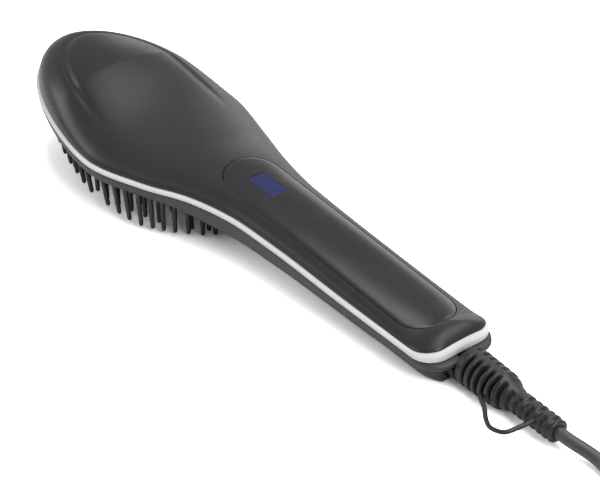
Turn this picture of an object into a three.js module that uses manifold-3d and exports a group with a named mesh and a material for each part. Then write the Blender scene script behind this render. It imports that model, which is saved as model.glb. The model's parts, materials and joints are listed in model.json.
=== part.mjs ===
// A hair straightening brush: an oval heated brush head on a long grip, in two moulded
// shells with a bright trim band between them, lying on its bristle tips.
// Millimetres, +X from the head to the cord, +Z up, near side at -Y, the surface at z = 0.
import * as THREE from "three";
import { mergeVertices } from "three/addons/utils/BufferGeometryUtils.js";
import Module from "manifold-3d";

const wasm = await Module();
wasm.setup();

// Plan outline of the body
const bodyLength = 255;
const tipX = -bodyLength / 2;
const tailX = bodyLength / 2;
const headHalfLength = 77; // from the head's tip to its widest place
const headHalfWidth = 37.4;
const neckLength = 82; // from the head's widest place to where the grip's even width begins
const gripHalfWidth = 17;
const tailTaper = 0.4; // the grip's half width shrinks by this towards the tail
const taperStart = 40;
const tailCorner = 8.5; // radius of the tail's corners in plan

// Heights, from the lower edge of the trim band
const bandHeight = 1.6;
const tailBandRise = 0.8; // the band is this much taller across the tail
const bandBevel = 1.2;
const bandDepth = 3.8;
const headCrest = 19;
const gripCrest = 9;
const tailCrest = 7;
const crestStart = tipX + 30; // the crest falls from the head's height to the grip's
const crestEnd = tipX + 100;
const tailFallStart = 20;
const headPower = 2.6; // squareness of the dome's section at the head
const gripPower = 2; // and at the grip
const headSpineInset = 50; // where the dome's crest line starts, from the head's tip
const tailSpineInset = 10;
const creasePlace = 0.68; // share of the way out from the crest line
const creaseDepth = 0.9;
const creaseFadeStart = tipX + 66;
const creaseFadeEnd = tipX + 100;
const topWall = 2.0;

// Lower shell
const headDepth = 4.2;
const bellyDepth = 9.4;
const bellyStart = -14;
const flatStart = 44; // the grip's underside is flat from here, under the buttons
const flatEnd = 88.5;
const waistDepth = 6.6; // the grip's slimmer place ahead of the tail
const waistPlace = tailX - 24;
const tailDepth = 9.9;
const bottomWall = 1.7;
const lipOut = 3; // how far the tail's rim stands out past the band
const lipShare = 0.26; // share of the tail's depth that the rim takes
const footInset = 1.2; // how far the tail's bottom edge stands in
const sideDraft = 1.5;

// Fits
const seam = 0.3; // gap where two pieces touch
const slideFit = 0.35;

// Control panel and display
const panelFront = -1;
const panelRear = tailX - 9.6;
const panelHalfWidth = 11.6;
const panelThickness = 1.3;
const panelLedge = 1.6;
const windowFront = 12;
const windowLength = 15;
const windowWidth = 7.4;

// Brushing face
const tipDrop = 19.8; // bristle tips below the band
const faceEnd = tipX + 135; // rear end of the opening for the brushing face
const faceRound = 26;
const openingInset = 3.6;
const frameFlange = 0.5; // how far the bristle frame reaches past the opening
const frameThickness = 1.6;
const guardInset = 5.2;
const guardLean = 0.15; // inward lean of the guard bristles, as a slope, at the head
const leanEnd = faceEnd - 11; // the lean has faded out here
const guardRadius = 1.25;
const guardTipRadius = 0.85;
const guardCount = 52;
const plateInset = 9.4;
const plateFlange = 1.3;
const plateThickness = 1.4;
const plateDrop = 3.4; // underside of the heated plate below the band
const pinRadius = 1.5;
const pinTipRadius = 1.15;
const pinPitch = 9.6;
const pinRowPitch = 8.6;
const pinRecess = 0.8; // the heated pins end this much short of the guard bristles

// Heating parts
const heaterLength = 42;
const heaterWidth = 26;
const heaterThickness = 1.4;
const heaterGap = 5;
const heaterFront = tipX + 28;
const sheetThickness = 0.5;
const clampWidth = 12;
const clampThickness = 1;
const clampScrewRadius = 1.2;

// Boards, buttons and their switches
const boardThickness = 1.4;
const mainBoardFront = 3;
const mainBoardRear = tailX - 36;
const mainBoardHalfWidth = 9.5;
const mainBoardBase = 3.4;
const ribThickness = 1.8;
const buttonRadius = 4.2;
const buttonStand = 0.7; // how far a button stands out of the lower shell
const buttonFlange = 1;
const buttonTravel = 0.7;
const buttonPlaces = { power_button: 50, plus_button: 62, minus_button: 74 };
const switchSize = 6;
const switchHeight = 1.2;
const buttonBoardFront = 38;
const buttonBoardRear = 86;
const buttonBoardHalfWidth = 7;
const postRadius = 2;

// Case screws
const screwRadius = 1.25;
const screwHeadRadius = 2.4;
const screwHeadHeight = 1.5;
const bossRadius = 3.1;
const bossSink = 0.3; // how far a boss's end stays below the ledge's face
const bossSplit = -1.2; // height where upper and lower bosses meet
const screwPlaces = [
  [14, -9.8],
  [14, 9.8],
  [tailX - 32, -9.2],
  [tailX - 32, 9.2],
];

// Cord swivel and strain relief, along the boot's own axis
const swivelX = tailX - 10; // centre of the swivel
const swivelZ = -3.4;
const bootYaw = 3.4; // degrees towards the near side, as the cord pulls it
const bootRise = 2.5; // degrees up from the band's plane
const stemRadius = 2.2;
const stemRear = 5.4; // the stem's inner end, ahead of the swivel's centre
const coreRadius = 1.4; // of the stem under its slip rings
const collarRadius = 3;
const collarWidth = 1.2;
const ringRadius = 2.3;
const ringWidth = 1.4;
const ringSpacing = 2.2;
const bushRadius = 3.2;
const bulkheadPlace = 1.6; // behind the swivel's centre
const bulkheadThickness = 2.6;
const blockBase = 0.3; // underside of the contact block
const blockHalfWidth = 4.6;
const blockFront = 10; // ahead of the swivel's centre
const bootStart = 13.7;
const rootRadius = 3.8;
const rootLength = 4.6; // the smooth root swells to full size over this
const sleeveLength = 17; // thick part of the boot
const shoulderLength = 8; // from the thick part down to the neck
const bootLength = 44.3;
const bootRadius = 7.1;
const sleeveTaper = 0.4;
const bootNeckRadius = 4.3;
const grooveDepth = 1;
const grooveWidth = 1.5;
const groovePitch = 6.4;
const grooveCount = 3;
const lastGroove = 4.5; // from the boot's end
const stemGrip = 8;
const slotCount = 6;
const slotPitch = 3.3;
const slotWidth = 1.4;
const slotStart = 3.4; // first slot, from the boot's root
const slotFloor = 4.4;
const spineHalfWidth = 2.2;
const loopRadius = 0.8;

// Mains cord
const cordDiameter = 4.5;
const touchLength = 17; // the cord comes down to the surface this far behind the boot
const touchSide = 2.6;
const touchLift = 0.9;
const coilOuterRadius = 35.5; // of the cord's centre line
const coilLayers = 4;
const coilTurns = 1.95; // in each layer
const coilPitch = 5.5;
const coilEntry = -106; // degrees round the coil where the cord comes in
const coilCentre = [252, 4]; // from the middle of the brush's footprint
const plugThickness = 13.6;
const plugWidth = 35.3;
const plugLength = 34;
const plugPinRadius = 2;
const plugPinLength = 19;
const plugPinSpacing = 18.6;
const plugRear = [262, 62]; // where the cord enters the plug

const headCentreX = tipX + headHalfLength;
const capStart = tailX - tailCorner;

// Shaping functions

function smooth(t) {
  const c = Math.min(Math.max(t, 0), 1);
  return c * c * (3 - 2 * c);
}

// Half width of the neck and grip at x, behind the head's widest place.
function gripHalf(x) {
  const neck = smooth((x - headCentreX) / neckLength);
  const taper = tailTaper * smooth((x - taperStart) / (capStart - taperStart));
  return headHalfWidth + (gripHalfWidth - headHalfWidth) * neck - taper;
}

// Half width anywhere on the body.
function halfWidth(x) {
  if (x <= headCentreX) {
    const t = Math.min((headCentreX - x) / headHalfLength, 1);
    return headHalfWidth * Math.sqrt(1 - t * t);
  }
  const past = Math.min(Math.max(x - capStart, 0), tailCorner);
  return gripHalf(x) - tailCorner + Math.sqrt(tailCorner ** 2 - past ** 2);
}

// Height of the dome's crest over the band.
function crest(x) {
  const fall = smooth((x - crestStart) / (crestEnd - crestStart));
  const tail = smooth((x - tailFallStart) / (tailX - tailSpineInset - tailFallStart));
  return headCrest + (gripCrest - headCrest) * fall + (tailCrest - gripCrest) * tail;
}

function domePower(x) {
  return headPower + (gripPower - headPower) * smooth((x - headCentreX) / neckLength);
}

function bandTop(x) {
  return bandHeight + tailBandRise * smooth((x - (tailX - 12)) / 10);
}

// Depth of the lower shell under the band.
function shellDepth(x) {
  const belly = (bellyDepth - headDepth) * smooth((x - bellyStart) / (flatStart - bellyStart));
  const waist = (waistDepth - bellyDepth) * smooth((x - flatEnd) / (waistPlace - flatEnd));
  const tail = (tailDepth - waistDepth) * smooth((x - waistPlace) / (capStart + 3 - waistPlace));
  return headDepth + belly + waist + tail;
}

// Half of the plan outline, from the head's tip to the middle of the tail.
function halfOutline() {
  const points = [];
  const headSteps = 12;
  const gripSteps = 16;
  const capSteps = 4;
  for (let i = 0; i < headSteps; i++) {
    const angle = (i / headSteps) * (Math.PI / 2);
    points.push([headCentreX - headHalfLength * Math.cos(angle), headHalfWidth * Math.sin(angle)]);
  }
  for (let i = 0; i < gripSteps; i++) {
    const x = headCentreX + ((capStart - headCentreX) * i) / gripSteps;
    points.push([x, gripHalf(x)]);
  }
  for (let i = 0; i <= capSteps; i++) {
    const angle = (i / capSteps) * (Math.PI / 2);
    const across = gripHalf(capStart) - tailCorner * (1 - Math.cos(angle));
    points.push([capStart + tailCorner * Math.sin(angle), across]);
  }
  points.push([tailX, 0]);
  return points;
}

// Closed outline with outward normals: along the far side to the tip, back along the near one.
function closedOutline(half) {
  const far = half.slice().reverse();
  const near = half.slice(1, -1).map(([x, y]) => [x, -y]);
  const points = [...far, ...near];
  const n = points.length;
  return points.map(([x, y], i) => {
    const [ax, ay] = points[(i + n - 1) % n];
    const [bx, by] = points[(i + 1) % n];
    const length = Math.hypot(bx - ax, by - ay);
    return { x, y, nx: (by - ay) / length, ny: (ax - bx) / length };
  });
}

const outline = closedOutline(halfOutline());

// One ring of points: the outline moved in by inset(x), shrunk to the crest line by share.
// Where along(point) is given, it is the inset along X, and inset(x) the one across.
function ringOf(points, inset, share, height, spine, along = null) {
  return points.map((p) => {
    const across = inset(p.x);
    const sx = Math.min(Math.max(p.x, spine[0]), spine[1]);
    const px = p.x - p.nx * (along ? along(p) : across);
    const py = p.y === 0 ? 0 : p.y - p.ny * across;
    return [sx + (px - sx) * share, py * share, height(sx, p.x)];
  });
}

const bodySpine = [tipX + headSpineInset, tailX - tailSpineInset];

// Geometry from rings of equal length; wrap joins the last ring to the first.
// Each four-cornered patch is split along its shorter diagonal.
function loft(rings, wrap = false) {
  const n = rings[0].length;
  const points = rings.flat();
  const position = points.flat();
  const span = (a, b) => Math.hypot(...points[a].map((v, k) => v - points[b][k]));
  const faces = [];
  const last = wrap ? rings.length : rings.length - 1;
  for (let r = 0; r < last; r++) {
    const a = r * n;
    const b = ((r + 1) % rings.length) * n;
    for (let i = 0; i < n; i++) {
      const j = (i + 1) % n;
      if (span(a + i, b + j) < span(a + j, b + i)) {
        faces.push([a + i, a + j, b + j], [a + i, b + j, b + i]);
      } else {
        faces.push([a + i, a + j, b + i], [a + j, b + j, b + i]);
      }
    }
  }
  const raw = new THREE.BufferGeometry();
  raw.setAttribute("position", new THREE.Float32BufferAttribute(position, 3));
  raw.setIndex(faces.flat());
  return tidy(raw);
}

// Merges shared vertices, drops collapsed faces and turns the faces outwards.
function tidy(geometry) {
  const plain = new THREE.BufferGeometry();
  plain.setAttribute("position", geometry.getAttribute("position"));
  plain.setIndex(geometry.index);
  const merged = mergeVertices(plain, 1e-4);
  const index = merged.index.array;
  const place = merged.getAttribute("position");
  const kept = [];
  const corners = [new THREE.Vector3(), new THREE.Vector3(), new THREE.Vector3()];
  let volume = 0;
  for (let i = 0; i < index.length; i += 3) {
    const [a, b, c] = [index[i], index[i + 1], index[i + 2]];
    if (a === b || b === c || c === a) continue;
    kept.push([a, b, c]);
    corners.forEach((corner, k) => corner.fromBufferAttribute(place, [a, b, c][k]));
    volume += corners[0].dot(corners[1].clone().cross(corners[2]));
  }
  merged.setIndex((volume < 0 ? kept.map((f) => f.reverse()) : kept).flat());
  return merged;
}

// Booleans

function solid(geometry) {
  const g = tidy(geometry);
  const mesh = new wasm.Mesh({
    numProp: 3,
    vertProperties: new Float32Array(g.getAttribute("position").array),
    triVerts: new Uint32Array(g.index.array),
  });
  return new wasm.Manifold(mesh);
}

function shape(manifold) {
  const mesh = manifold.getMesh();
  const g = new THREE.BufferGeometry();
  g.setAttribute("position", new THREE.BufferAttribute(mesh.vertProperties, 3));
  g.setIndex(new THREE.BufferAttribute(mesh.triVerts, 1));
  return g;
}

const joined = (...list) => shape(list.map(solid).reduce((a, b) => a.add(b)));
const cut = (base, ...tools) => shape(tools.map(solid).reduce((a, b) => a.subtract(b), solid(base)));
const common = (a, b) => shape(solid(a).intersect(solid(b)));

// Simple shapes

function box(x0, x1, y0, y1, z0, z1) {
  const g = new THREE.BoxGeometry(x1 - x0, y1 - y0, z1 - z0);
  return g.translate((x0 + x1) / 2, (y0 + y1) / 2, (z0 + z1) / 2);
}

function post(radius, x, y, z0, z1, sides = 12) {
  const g = new THREE.CylinderGeometry(radius, radius, z1 - z0, sides);
  return g.rotateX(Math.PI / 2).translate(x, y, (z0 + z1) / 2);
}

function rodAlongX(radius, x0, x1, sides = 16) {
  const g = new THREE.CylinderGeometry(radius, radius, x1 - x0, sides);
  return g.rotateZ(-Math.PI / 2).translate((x0 + x1) / 2, 0, 0);
}

// A revolved piece whose profile of [radius, place along X] closes on the axis.
function turned(profile, sides = 16) {
  const g = new THREE.LatheGeometry(
    profile.map(([r, x]) => new THREE.Vector2(r, x)),
    sides,
  );
  return tidy(g).rotateZ(-Math.PI / 2);
}

function stadium(x0, x1, halfAcross, z0, z1) {
  const s = new THREE.Shape();
  s.moveTo(x0 + halfAcross, -halfAcross);
  s.lineTo(x1 - halfAcross, -halfAcross);
  s.absarc(x1 - halfAcross, 0, halfAcross, -Math.PI / 2, Math.PI / 2, false);
  s.lineTo(x0 + halfAcross, halfAcross);
  s.absarc(x0 + halfAcross, 0, halfAcross, Math.PI / 2, (3 * Math.PI) / 2, false);
  const g = new THREE.ExtrudeGeometry(s, { depth: z1 - z0, bevelEnabled: false, curveSegments: 9 });
  return g.translate(0, 0, z0);
}

// A tube of even sides along a curve, with flat ends.
function tube(curve, radius, steps, sides) {
  const section = new THREE.Shape();
  for (let i = 0; i < sides; i++) {
    const angle = (i / sides) * 2 * Math.PI;
    const point = [radius * Math.cos(angle), radius * Math.sin(angle)];
    if (i === 0) section.moveTo(...point);
    else section.lineTo(...point);
  }
  return new THREE.ExtrudeGeometry(section, { steps, extrudePath: curve });
}

function curveThrough(points) {
  return new THREE.CatmullRomCurve3(points.map((p) => new THREE.Vector3(...p)), false, "centripetal");
}

// Upper shell, panel and window are layers of one dome.

const creaseHalf = 0.045; // half width of the crease, as a share
const outerShares = [
  0,
  0.28,
  0.5,
  creasePlace - creaseHalf,
  creasePlace,
  creasePlace + creaseHalf,
  0.84,
  0.95,
  1,
];
const innerShares = [1, 0.93, 0.75, 0.45, 0];

function domeRings(depth, shares) {
  return shares.map((share) =>
    ringOf(
      outline,
      () => bandBevel + depth,
      share,
      (sx, x) => {
        const fade = 1 - smooth((x - creaseFadeStart) / (creaseFadeEnd - creaseFadeStart));
        const dip = share === creasePlace ? creaseDepth * fade : 0;
        const power = domePower(sx);
        const rise = (crest(sx) - depth) * (1 - share ** power) ** (1 / power);
        return bandTop(x) + seam + rise - dip;
      },
      bodySpine,
    ),
  );
}

function domeLayer(outer, inner, shares = outerShares) {
  return loft([...domeRings(outer, shares), ...domeRings(inner, innerShares)]);
}

function domeSolid(depth) {
  const base = ringOf(outline, () => bandBevel + depth, 0, () => bandHeight, bodySpine);
  const rim = ringOf(outline, () => bandBevel + depth, 1, () => bandHeight, bodySpine);
  return loft([base, rim, ...domeRings(depth, innerShares)]);
}

const bandAndDome = 60; // taller than the whole body, for cutting tools

function topShell() {
  const ledgeTop = panelThickness + seam;
  const ledge = common(
    domeLayer(ledgeTop, ledgeTop + panelLedge, innerShares.toReversed()),
    cut(
      stadium(panelFront - 2, panelRear + 2, panelHalfWidth + 2, 0, bandAndDome),
      stadium(panelFront + 2, panelRear - 2, panelHalfWidth - 2, -1, bandAndDome + 1),
    ),
  );
  const opening = stadium(panelFront, panelRear, panelHalfWidth, 0, bandAndDome);
  const bosses = screwPlaces.map(([x, y]) =>
    joined(
      common(post(bossRadius, x, y, bandHeight, bandAndDome), domeSolid(ledgeTop + bossSink)),
      post(bossRadius, x, y, bossSplit, bandHeight + 1),
    ),
  );
  const holes = screwPlaces.map(([x, y]) => post(screwRadius + seam, x, y, bossSplit - 1, 4.5));
  return cut(joined(cut(domeLayer(0, topWall), opening), ledge, ...bosses), ...holes);
}

function windowBox(gap) {
  const half = windowWidth / 2 + gap;
  return box(windowFront - gap, windowFront + windowLength + gap, -half, half, 0, bandAndDome);
}

function controlPanel() {
  const inset = seam / 2;
  const blank = stadium(panelFront + inset, panelRear - inset, panelHalfWidth - inset, 0, bandAndDome);
  return cut(common(domeLayer(0, panelThickness), blank), windowBox(0));
}

function displayWindow() {
  return common(domeLayer(0, panelThickness), windowBox(-seam / 2));
}

function trimBand() {
  const level = (height) => (sx, x) => height(x);
  const at = (inset, height) => ringOf(outline, () => inset, 1, level(height), bodySpine);
  return loft(
    [
      at(0, () => 0),
      at(0, () => 0.4),
      at(bandBevel, bandTop),
      at(bandDepth, bandTop),
      at(bandDepth, () => 0),
    ],
    true,
  );
}

// Lower shell

// Each step of the section: how far in from the outline and how deep, as a share.
function shellRing(extraInset, inset, depthShare, lift) {
  const lip = depthShare > 0 && depthShare <= lipShare ? lipOut : 0;
  const across = (x) => extraInset + inset * (shellDepth(x) / bellyDepth) ** 1.8;
  const atTail = extraInset + Math.min(inset, footInset) - lip;
  return ringOf(
    outline,
    across,
    1,
    (sx, x) => -seam - (shellDepth(x) - lift) * depthShare,
    bodySpine,
    (p) => (p.x > capStart ? atTail : across(p.x)),
  );
}

function shellFloor(lift) {
  return ringOf(outline, () => 0, 0, (sx) => -seam - shellDepth(sx) + lift, bodySpine);
}

function bottomBlank() {
  const outer = [
    shellFloor(0),
    shellRing(0, 6.8, 1, 0),
    shellRing(0, 4.1, 0.86, 0),
    shellRing(0, sideDraft, 0.44, 0),
    shellRing(0, 0.9, lipShare + 0.06, 0),
    shellRing(0, 0.6, lipShare, 0),
    shellRing(0, 0.4, lipShare / 3, 0),
    shellRing(0, 0.6, 0, 0),
  ];
  const inner = [
    shellRing(bottomWall, 0.6, 0, bottomWall),
    shellRing(bottomWall, sideDraft, 0.44, bottomWall),
    shellRing(bottomWall, 4, 1, bottomWall),
    shellFloor(bottomWall),
  ];
  return loft([...outer, ...inner]);
}

// Outline of the brushing face, moved in by inset, with a round rear end.
function faceHalf(inset) {
  const steps = 26;
  const start = tipX + inset;
  const end = faceEnd - inset;
  const points = [];
  for (let i = 0; i <= steps; i++) {
    const x = start + ((end - start) * (1 - Math.cos((Math.PI * i) / steps))) / 2;
    const t = Math.min(Math.max((x - (end - faceRound)) / faceRound, 0), 1);
    const close = (1 - t ** 2.2) ** (1 / 2.2);
    const scale = (headHalfWidth - inset) / headHalfWidth;
    const stretched = headCentreX + (x - headCentreX) * (headHalfLength / (headHalfLength - inset));
    const width = x < headCentreX ? halfWidth(stretched) * scale : halfWidth(x) - inset;
    points.push([x, i === 0 || i === steps ? 0 : width * close]);
  }
  return points;
}

function faceSlab(inset, z0, z1) {
  const points = closedOutline(faceHalf(inset));
  const spine = [tipX + inset + 24, faceEnd - inset - 14];
  const ring = (share, z) => ringOf(points, () => 0, share, () => z, spine);
  return loft([ring(0, z0), ring(1, z0), ring(1, z1), ring(0, z1)]);
}

const innerFloor = (x) => -seam - shellDepth(x) + bottomWall;

// A rib or post standing on the lower shell's floor, sunk into the wall so that it is one piece.
function standing(make, x, top) {
  return make(innerFloor(x) - bottomWall / 2, top);
}

const buttonBoardBase = -3.9;
const swivelAngle = new THREE.Euler(
  0,
  THREE.MathUtils.degToRad(-bootRise),
  THREE.MathUtils.degToRad(-bootYaw),
);

// Moves a piece drawn along the boot's axis into the body's frame.
function onSwivel(geometry) {
  const turn = new THREE.Matrix4().makeRotationFromEuler(swivelAngle);
  return geometry.clone().applyMatrix4(turn).translate(swivelX, 0, swivelZ);
}

function bottomShell() {
  const bossBase = (x, y) =>
    standing((z0, z1) => post(bossRadius, x, y, z0, z1), x, bossSplit - seam);
  const ribs = [mainBoardFront + 5, mainBoardRear - 5].map((x) =>
    standing((z0, z1) => box(x, x + ribThickness, -8.5, 8.5, z0, z1), x, mainBoardBase - seam),
  );
  const posts = [buttonBoardFront + 3.2, buttonBoardRear - 3.2].map((x) =>
    standing((z0, z1) => post(postRadius, x, 0, z0, z1), x, buttonBoardBase - seam),
  );
  const bulkheadX = swivelX + bulkheadPlace;
  const bulkhead = standing(
    (z0, z1) => box(bulkheadX, bulkheadX + bulkheadThickness, -12.5, 12.5, z0, z1),
    bulkheadX,
    blockBase - seam,
  );
  const blockRib = standing(
    (z0, z1) => box(swivelX - blockFront, swivelX - blockFront + ribThickness, -5, 5, z0, z1),
    swivelX - blockFront,
    blockBase - seam,
  );
  const body = joined(
    bottomBlank(),
    ...screwPlaces.map(([x, y]) => bossBase(x, y)),
    ...ribs,
    ...posts,
    bulkhead,
    blockRib,
  );
  const screwHoles = screwPlaces.flatMap(([x, y]) => {
    const seat = innerFloor(x) - bottomWall + screwHeadHeight + 0.6;
    return [
      post(screwRadius + seam, x, y, -bandAndDome, bandAndDome),
      post(screwHeadRadius + seam, x, y, -bandAndDome, seat),
    ];
  });
  const buttonHoles = Object.values(buttonPlaces).map((x) =>
    post(buttonRadius + slideFit, x, 0, -bandAndDome, 0, 20),
  );
  const scoop = common(
    onSwivel(rodAlongX(bootRadius + 0.8, bulkheadPlace + bulkheadThickness, 40)),
    box(0, bodyLength, -20, 20, -20, -seam - tailDepth * (lipShare + 0.06)),
  );
  return cut(
    body,
    faceSlab(openingInset, -bandAndDome, -seam - 0.5),
    ...screwHoles,
    ...buttonHoles,
    scoop,
    onSwivel(rodAlongX(bushRadius + seam, -stemRear - 1, bulkheadPlace + bulkheadThickness + 1)),
    onSwivel(rodAlongX(stemRadius + 0.4, -stemRear - 1, 20)),
  );
}

// Bristles

// A tapered strand with a small round end, from a root point down to a tip point.
function strand(root, tip, rootRadius, tipRadius, sides) {
  const from = new THREE.Vector3(...root);
  const to = new THREE.Vector3(...tip);
  const length = from.distanceTo(to);
  const profile = [
    [0, 0],
    [tipRadius, tipRadius * 0.8],
    [rootRadius, length],
    [0, length],
  ].map(([r, y]) => new THREE.Vector2(r, y));
  const g = tidy(new THREE.LatheGeometry(profile, sides));
  const turn = new THREE.Quaternion().setFromUnitVectors(
    new THREE.Vector3(0, 1, 0),
    from.clone().sub(to).normalize(),
  );
  return g.applyQuaternion(turn).translate(to.x, to.y, to.z);
}

const frameTop = -seam - headDepth + bottomWall + seam + frameThickness;

// Evenly spaced places along a closed outline.
function spread(points, count) {
  const lengths = points.map((p, i) => {
    const q = points[(i + 1) % points.length];
    return Math.hypot(q.x - p.x, q.y - p.y);
  });
  const total = lengths.reduce((a, b) => a + b);
  const places = [];
  let i = 0;
  let walked = 0;
  for (let k = 0; k < count; k++) {
    const want = ((k + 0.5) / count) * total;
    while (walked + lengths[i] < want) walked += lengths[i++];
    const t = (want - walked) / lengths[i];
    const p = points[i];
    const q = points[(i + 1) % points.length];
    places.push({ x: p.x + (q.x - p.x) * t, y: p.y + (q.y - p.y) * t, nx: p.nx, ny: p.ny });
  }
  return places;
}

function bristleFrame() {
  const base = frameTop - frameThickness;
  const ring = cut(
    joined(
      faceSlab(openingInset - frameFlange, base, frameTop),
      faceSlab(openingInset + seam, base - bottomWall, frameTop - 0.2),
    ),
    faceSlab(plateInset - seam, -bandAndDome, bandAndDome),
  );
  const fall = tipDrop + base - bottomWall;
  const guards = spread(closedOutline(faceHalf(guardInset)), guardCount).map((p) => {
    const root = [p.x, p.y, base - bottomWall + 0.6];
    const lean = guardLean * (1 - smooth((p.x - headCentreX) / (leanEnd - headCentreX))) * fall;
    const tip = [p.x - p.nx * lean, p.y - p.ny * lean, -tipDrop];
    return strand(root, tip, guardRadius, guardTipRadius, 5);
  });
  return joined(ring, ...guards);
}

const plateTop = frameTop + seam + plateThickness;

function heatPlate() {
  const slab = joined(
    faceSlab(plateInset - plateFlange, frameTop + seam, plateTop),
    faceSlab(plateInset, -plateDrop, frameTop + 1),
  );
  const pins = [];
  const rows = Math.floor((headHalfWidth - plateInset - 2.5) / pinRowPitch);
  for (let row = -rows; row <= rows; row++) {
    const y = row * pinRowPitch;
    const offset = (Math.abs(row) % 2) * (pinPitch / 2);
    for (let x = tipX + plateInset + 6 + offset; x < faceEnd - plateInset - 4; x += pinPitch) {
      if (halfWidth(x) - plateInset - 2.5 < Math.abs(y) || faceEnd - x < 10 + Math.abs(y) * 0.9) continue;
      pins.push(strand([x, y, -plateDrop + 0.6], [x, y, -tipDrop + pinRecess], pinRadius, pinTipRadius, 5));
    }
  }
  return joined(slab, ...pins);
}

// Heating parts on the plate

const heaterBase = plateTop + seam;
const sheetBase = heaterBase + heaterThickness + seam;
const clampBase = sheetBase + sheetThickness + seam;

function heater(index) {
  const x0 = heaterFront + index * (heaterLength + heaterGap);
  return box(x0, x0 + heaterLength, -heaterWidth / 2, heaterWidth / 2, heaterBase, heaterBase + heaterThickness);
}

const clampRear = heaterFront + 2 * heaterLength + heaterGap;
const clampScrewX = [heaterFront - 4.5, heaterFront + heaterLength + heaterGap / 2];

function heaterClamp() {
  const strip = box(heaterFront - 8, clampRear, -clampWidth / 2, clampWidth / 2, clampBase, clampBase + clampThickness);
  return cut(strip, ...clampScrewX.map((x) => post(clampScrewRadius + seam, x, 0, 0, bandAndDome)));
}

function insulationSheet() {
  const sheet = box(
    heaterFront + 0.5,
    clampRear - 0.5,
    -heaterWidth / 2 - 1,
    heaterWidth / 2 + 1,
    sheetBase,
    sheetBase + sheetThickness,
  );
  return cut(sheet, post(clampScrewRadius + seam, clampScrewX[1], 0, 0, bandAndDome));
}

// A pan-head screw along Z; its head stands beyond the shank's head end.
function screw(x, y, head, end, radius, headRadius, headHeight) {
  const top = head + Math.sign(head - end) * headHeight;
  const middle = (head + top) / 2;
  return joined(
    post(radius, x, y, Math.min(middle, end), Math.max(middle, end), 8),
    post(headRadius, x, y, Math.min(head, top), Math.max(head, top)),
  );
}

// Cord route

const cordRestHeight = cordDiameter / 2 + 0.1;

// A coil of piled layers: it spirals in, climbs a layer while it turns back, and spirals out.
class Coil extends THREE.Curve {
  constructor() {
    super();
    this.full = coilTurns * 2 * Math.PI;
    this.climb = Math.PI;
    this.total = coilLayers * this.full + (coilLayers - 1) * this.climb;
    this.straight = cordDiameter / coilOuterRadius;
  }
  spiral(turned) {
    const period = this.full + this.climb;
    const away = Math.abs(((turned + this.climb / 2) % (2 * period)) - period);
    const rate = coilPitch / (2 * Math.PI);
    const r = coilOuterRadius + rate * (away - period + this.climb / 2);
    let rise = 0;
    for (let k = 1; k < coilLayers; k++) {
      rise += coilPitch * smooth((turned - k * period + this.climb) / this.climb);
    }
    const angle = THREE.MathUtils.degToRad(coilEntry) + turned;
    const x = coilCentre[0] + r * Math.cos(angle);
    const y = coilCentre[1] + r * Math.sin(angle);
    return new THREE.Vector3(x, y, cordRestHeight + rise);
  }
  getPoint(t, target = new THREE.Vector3()) {
    const wanted = t * (this.total + 2 * this.straight) - this.straight;
    const turned = Math.min(Math.max(wanted, 0), this.total);
    const angle = THREE.MathUtils.degToRad(coilEntry) + turned;
    const past = (wanted - turned) * coilOuterRadius;
    const place = this.spiral(turned);
    return target.set(place.x - past * Math.sin(angle), place.y + past * Math.cos(angle), place.z);
  }
}

// Least gap of a wound tube to itself, from points along its centre line.
function leastGap(points, diameter, skip) {
  let least = Infinity;
  for (let i = 0; i < points.length; i++) {
    for (let j = i + skip; j < points.length; j++) {
      least = Math.min(least, points[i].distanceTo(points[j]));
    }
  }
  return least - diameter;
}

// Assembly

const colours = {
  shell: [0x3a3a3c, 0.42, 0],
  under: [0x5a5a5c, 0.45, 0],
  band: [0xd9dadb, 0.3, 0.6],
  panel: [0x2b2b2d, 0.25, 0],
  window: [0x3c4170, 0.3, 0],
  black: [0x151517, 0.5, 0],
  rubber: [0x1d1d1f, 0.6, 0],
  metal: [0xb4b6b8, 0.35, 0.9],
  copper: [0xb5713f, 0.35, 0.9],
  board: [0x1e5b3a, 0.6, 0],
  ceramic: [0xe9e4d8, 0.7, 0],
  mica: [0xb9a77e, 0.6, 0],
  red: [0x9a2a22, 0.6, 0],
  blue: [0x27457f, 0.6, 0],
};

function part(group, name, geometry, look) {
  const [color, roughness, metalness] = colours[look];
  const material = new THREE.MeshStandardMaterial({ color, roughness, metalness });
  const mesh = new THREE.Mesh(geometry, material);
  mesh.name = name;
  group.add(mesh);
  return mesh;
}

// The brush lies on its rear bristle tips and on the thick part of its boot.
const rearTip = faceEnd - guardInset;
const bootUnderside = new THREE.Vector3(bootStart + rootLength, 0, -bootRadius);
bootUnderside.applyEuler(swivelAngle).add(new THREE.Vector3(swivelX, 0, swivelZ));
const restPitch = Math.atan2(tipDrop + bootUnderside.z, bootUnderside.x - rearTip);

const brush = new THREE.Group();
brush.rotation.y = restPitch;
brush.position.z = tipDrop * Math.cos(restPitch) + rearTip * Math.sin(restPitch);

function addHousing() {
  part(brush, "top_shell", topShell(), "shell");
  part(brush, "trim_band", trimBand(), "band");
  part(brush, "bottom_shell", bottomShell(), "under");
  part(brush, "control_panel", controlPanel(), "panel");
  part(brush, "display_window", displayWindow(), "window");
  screwPlaces.forEach(([x, y], i) => {
    const head = innerFloor(x) - bottomWall + screwHeadHeight + 0.3;
    const s = screw(x, y, head, 4.2, screwRadius, screwHeadRadius, screwHeadHeight);
    part(brush, `case_screw_${i + 1}`, s, "metal");
  });
}

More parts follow.
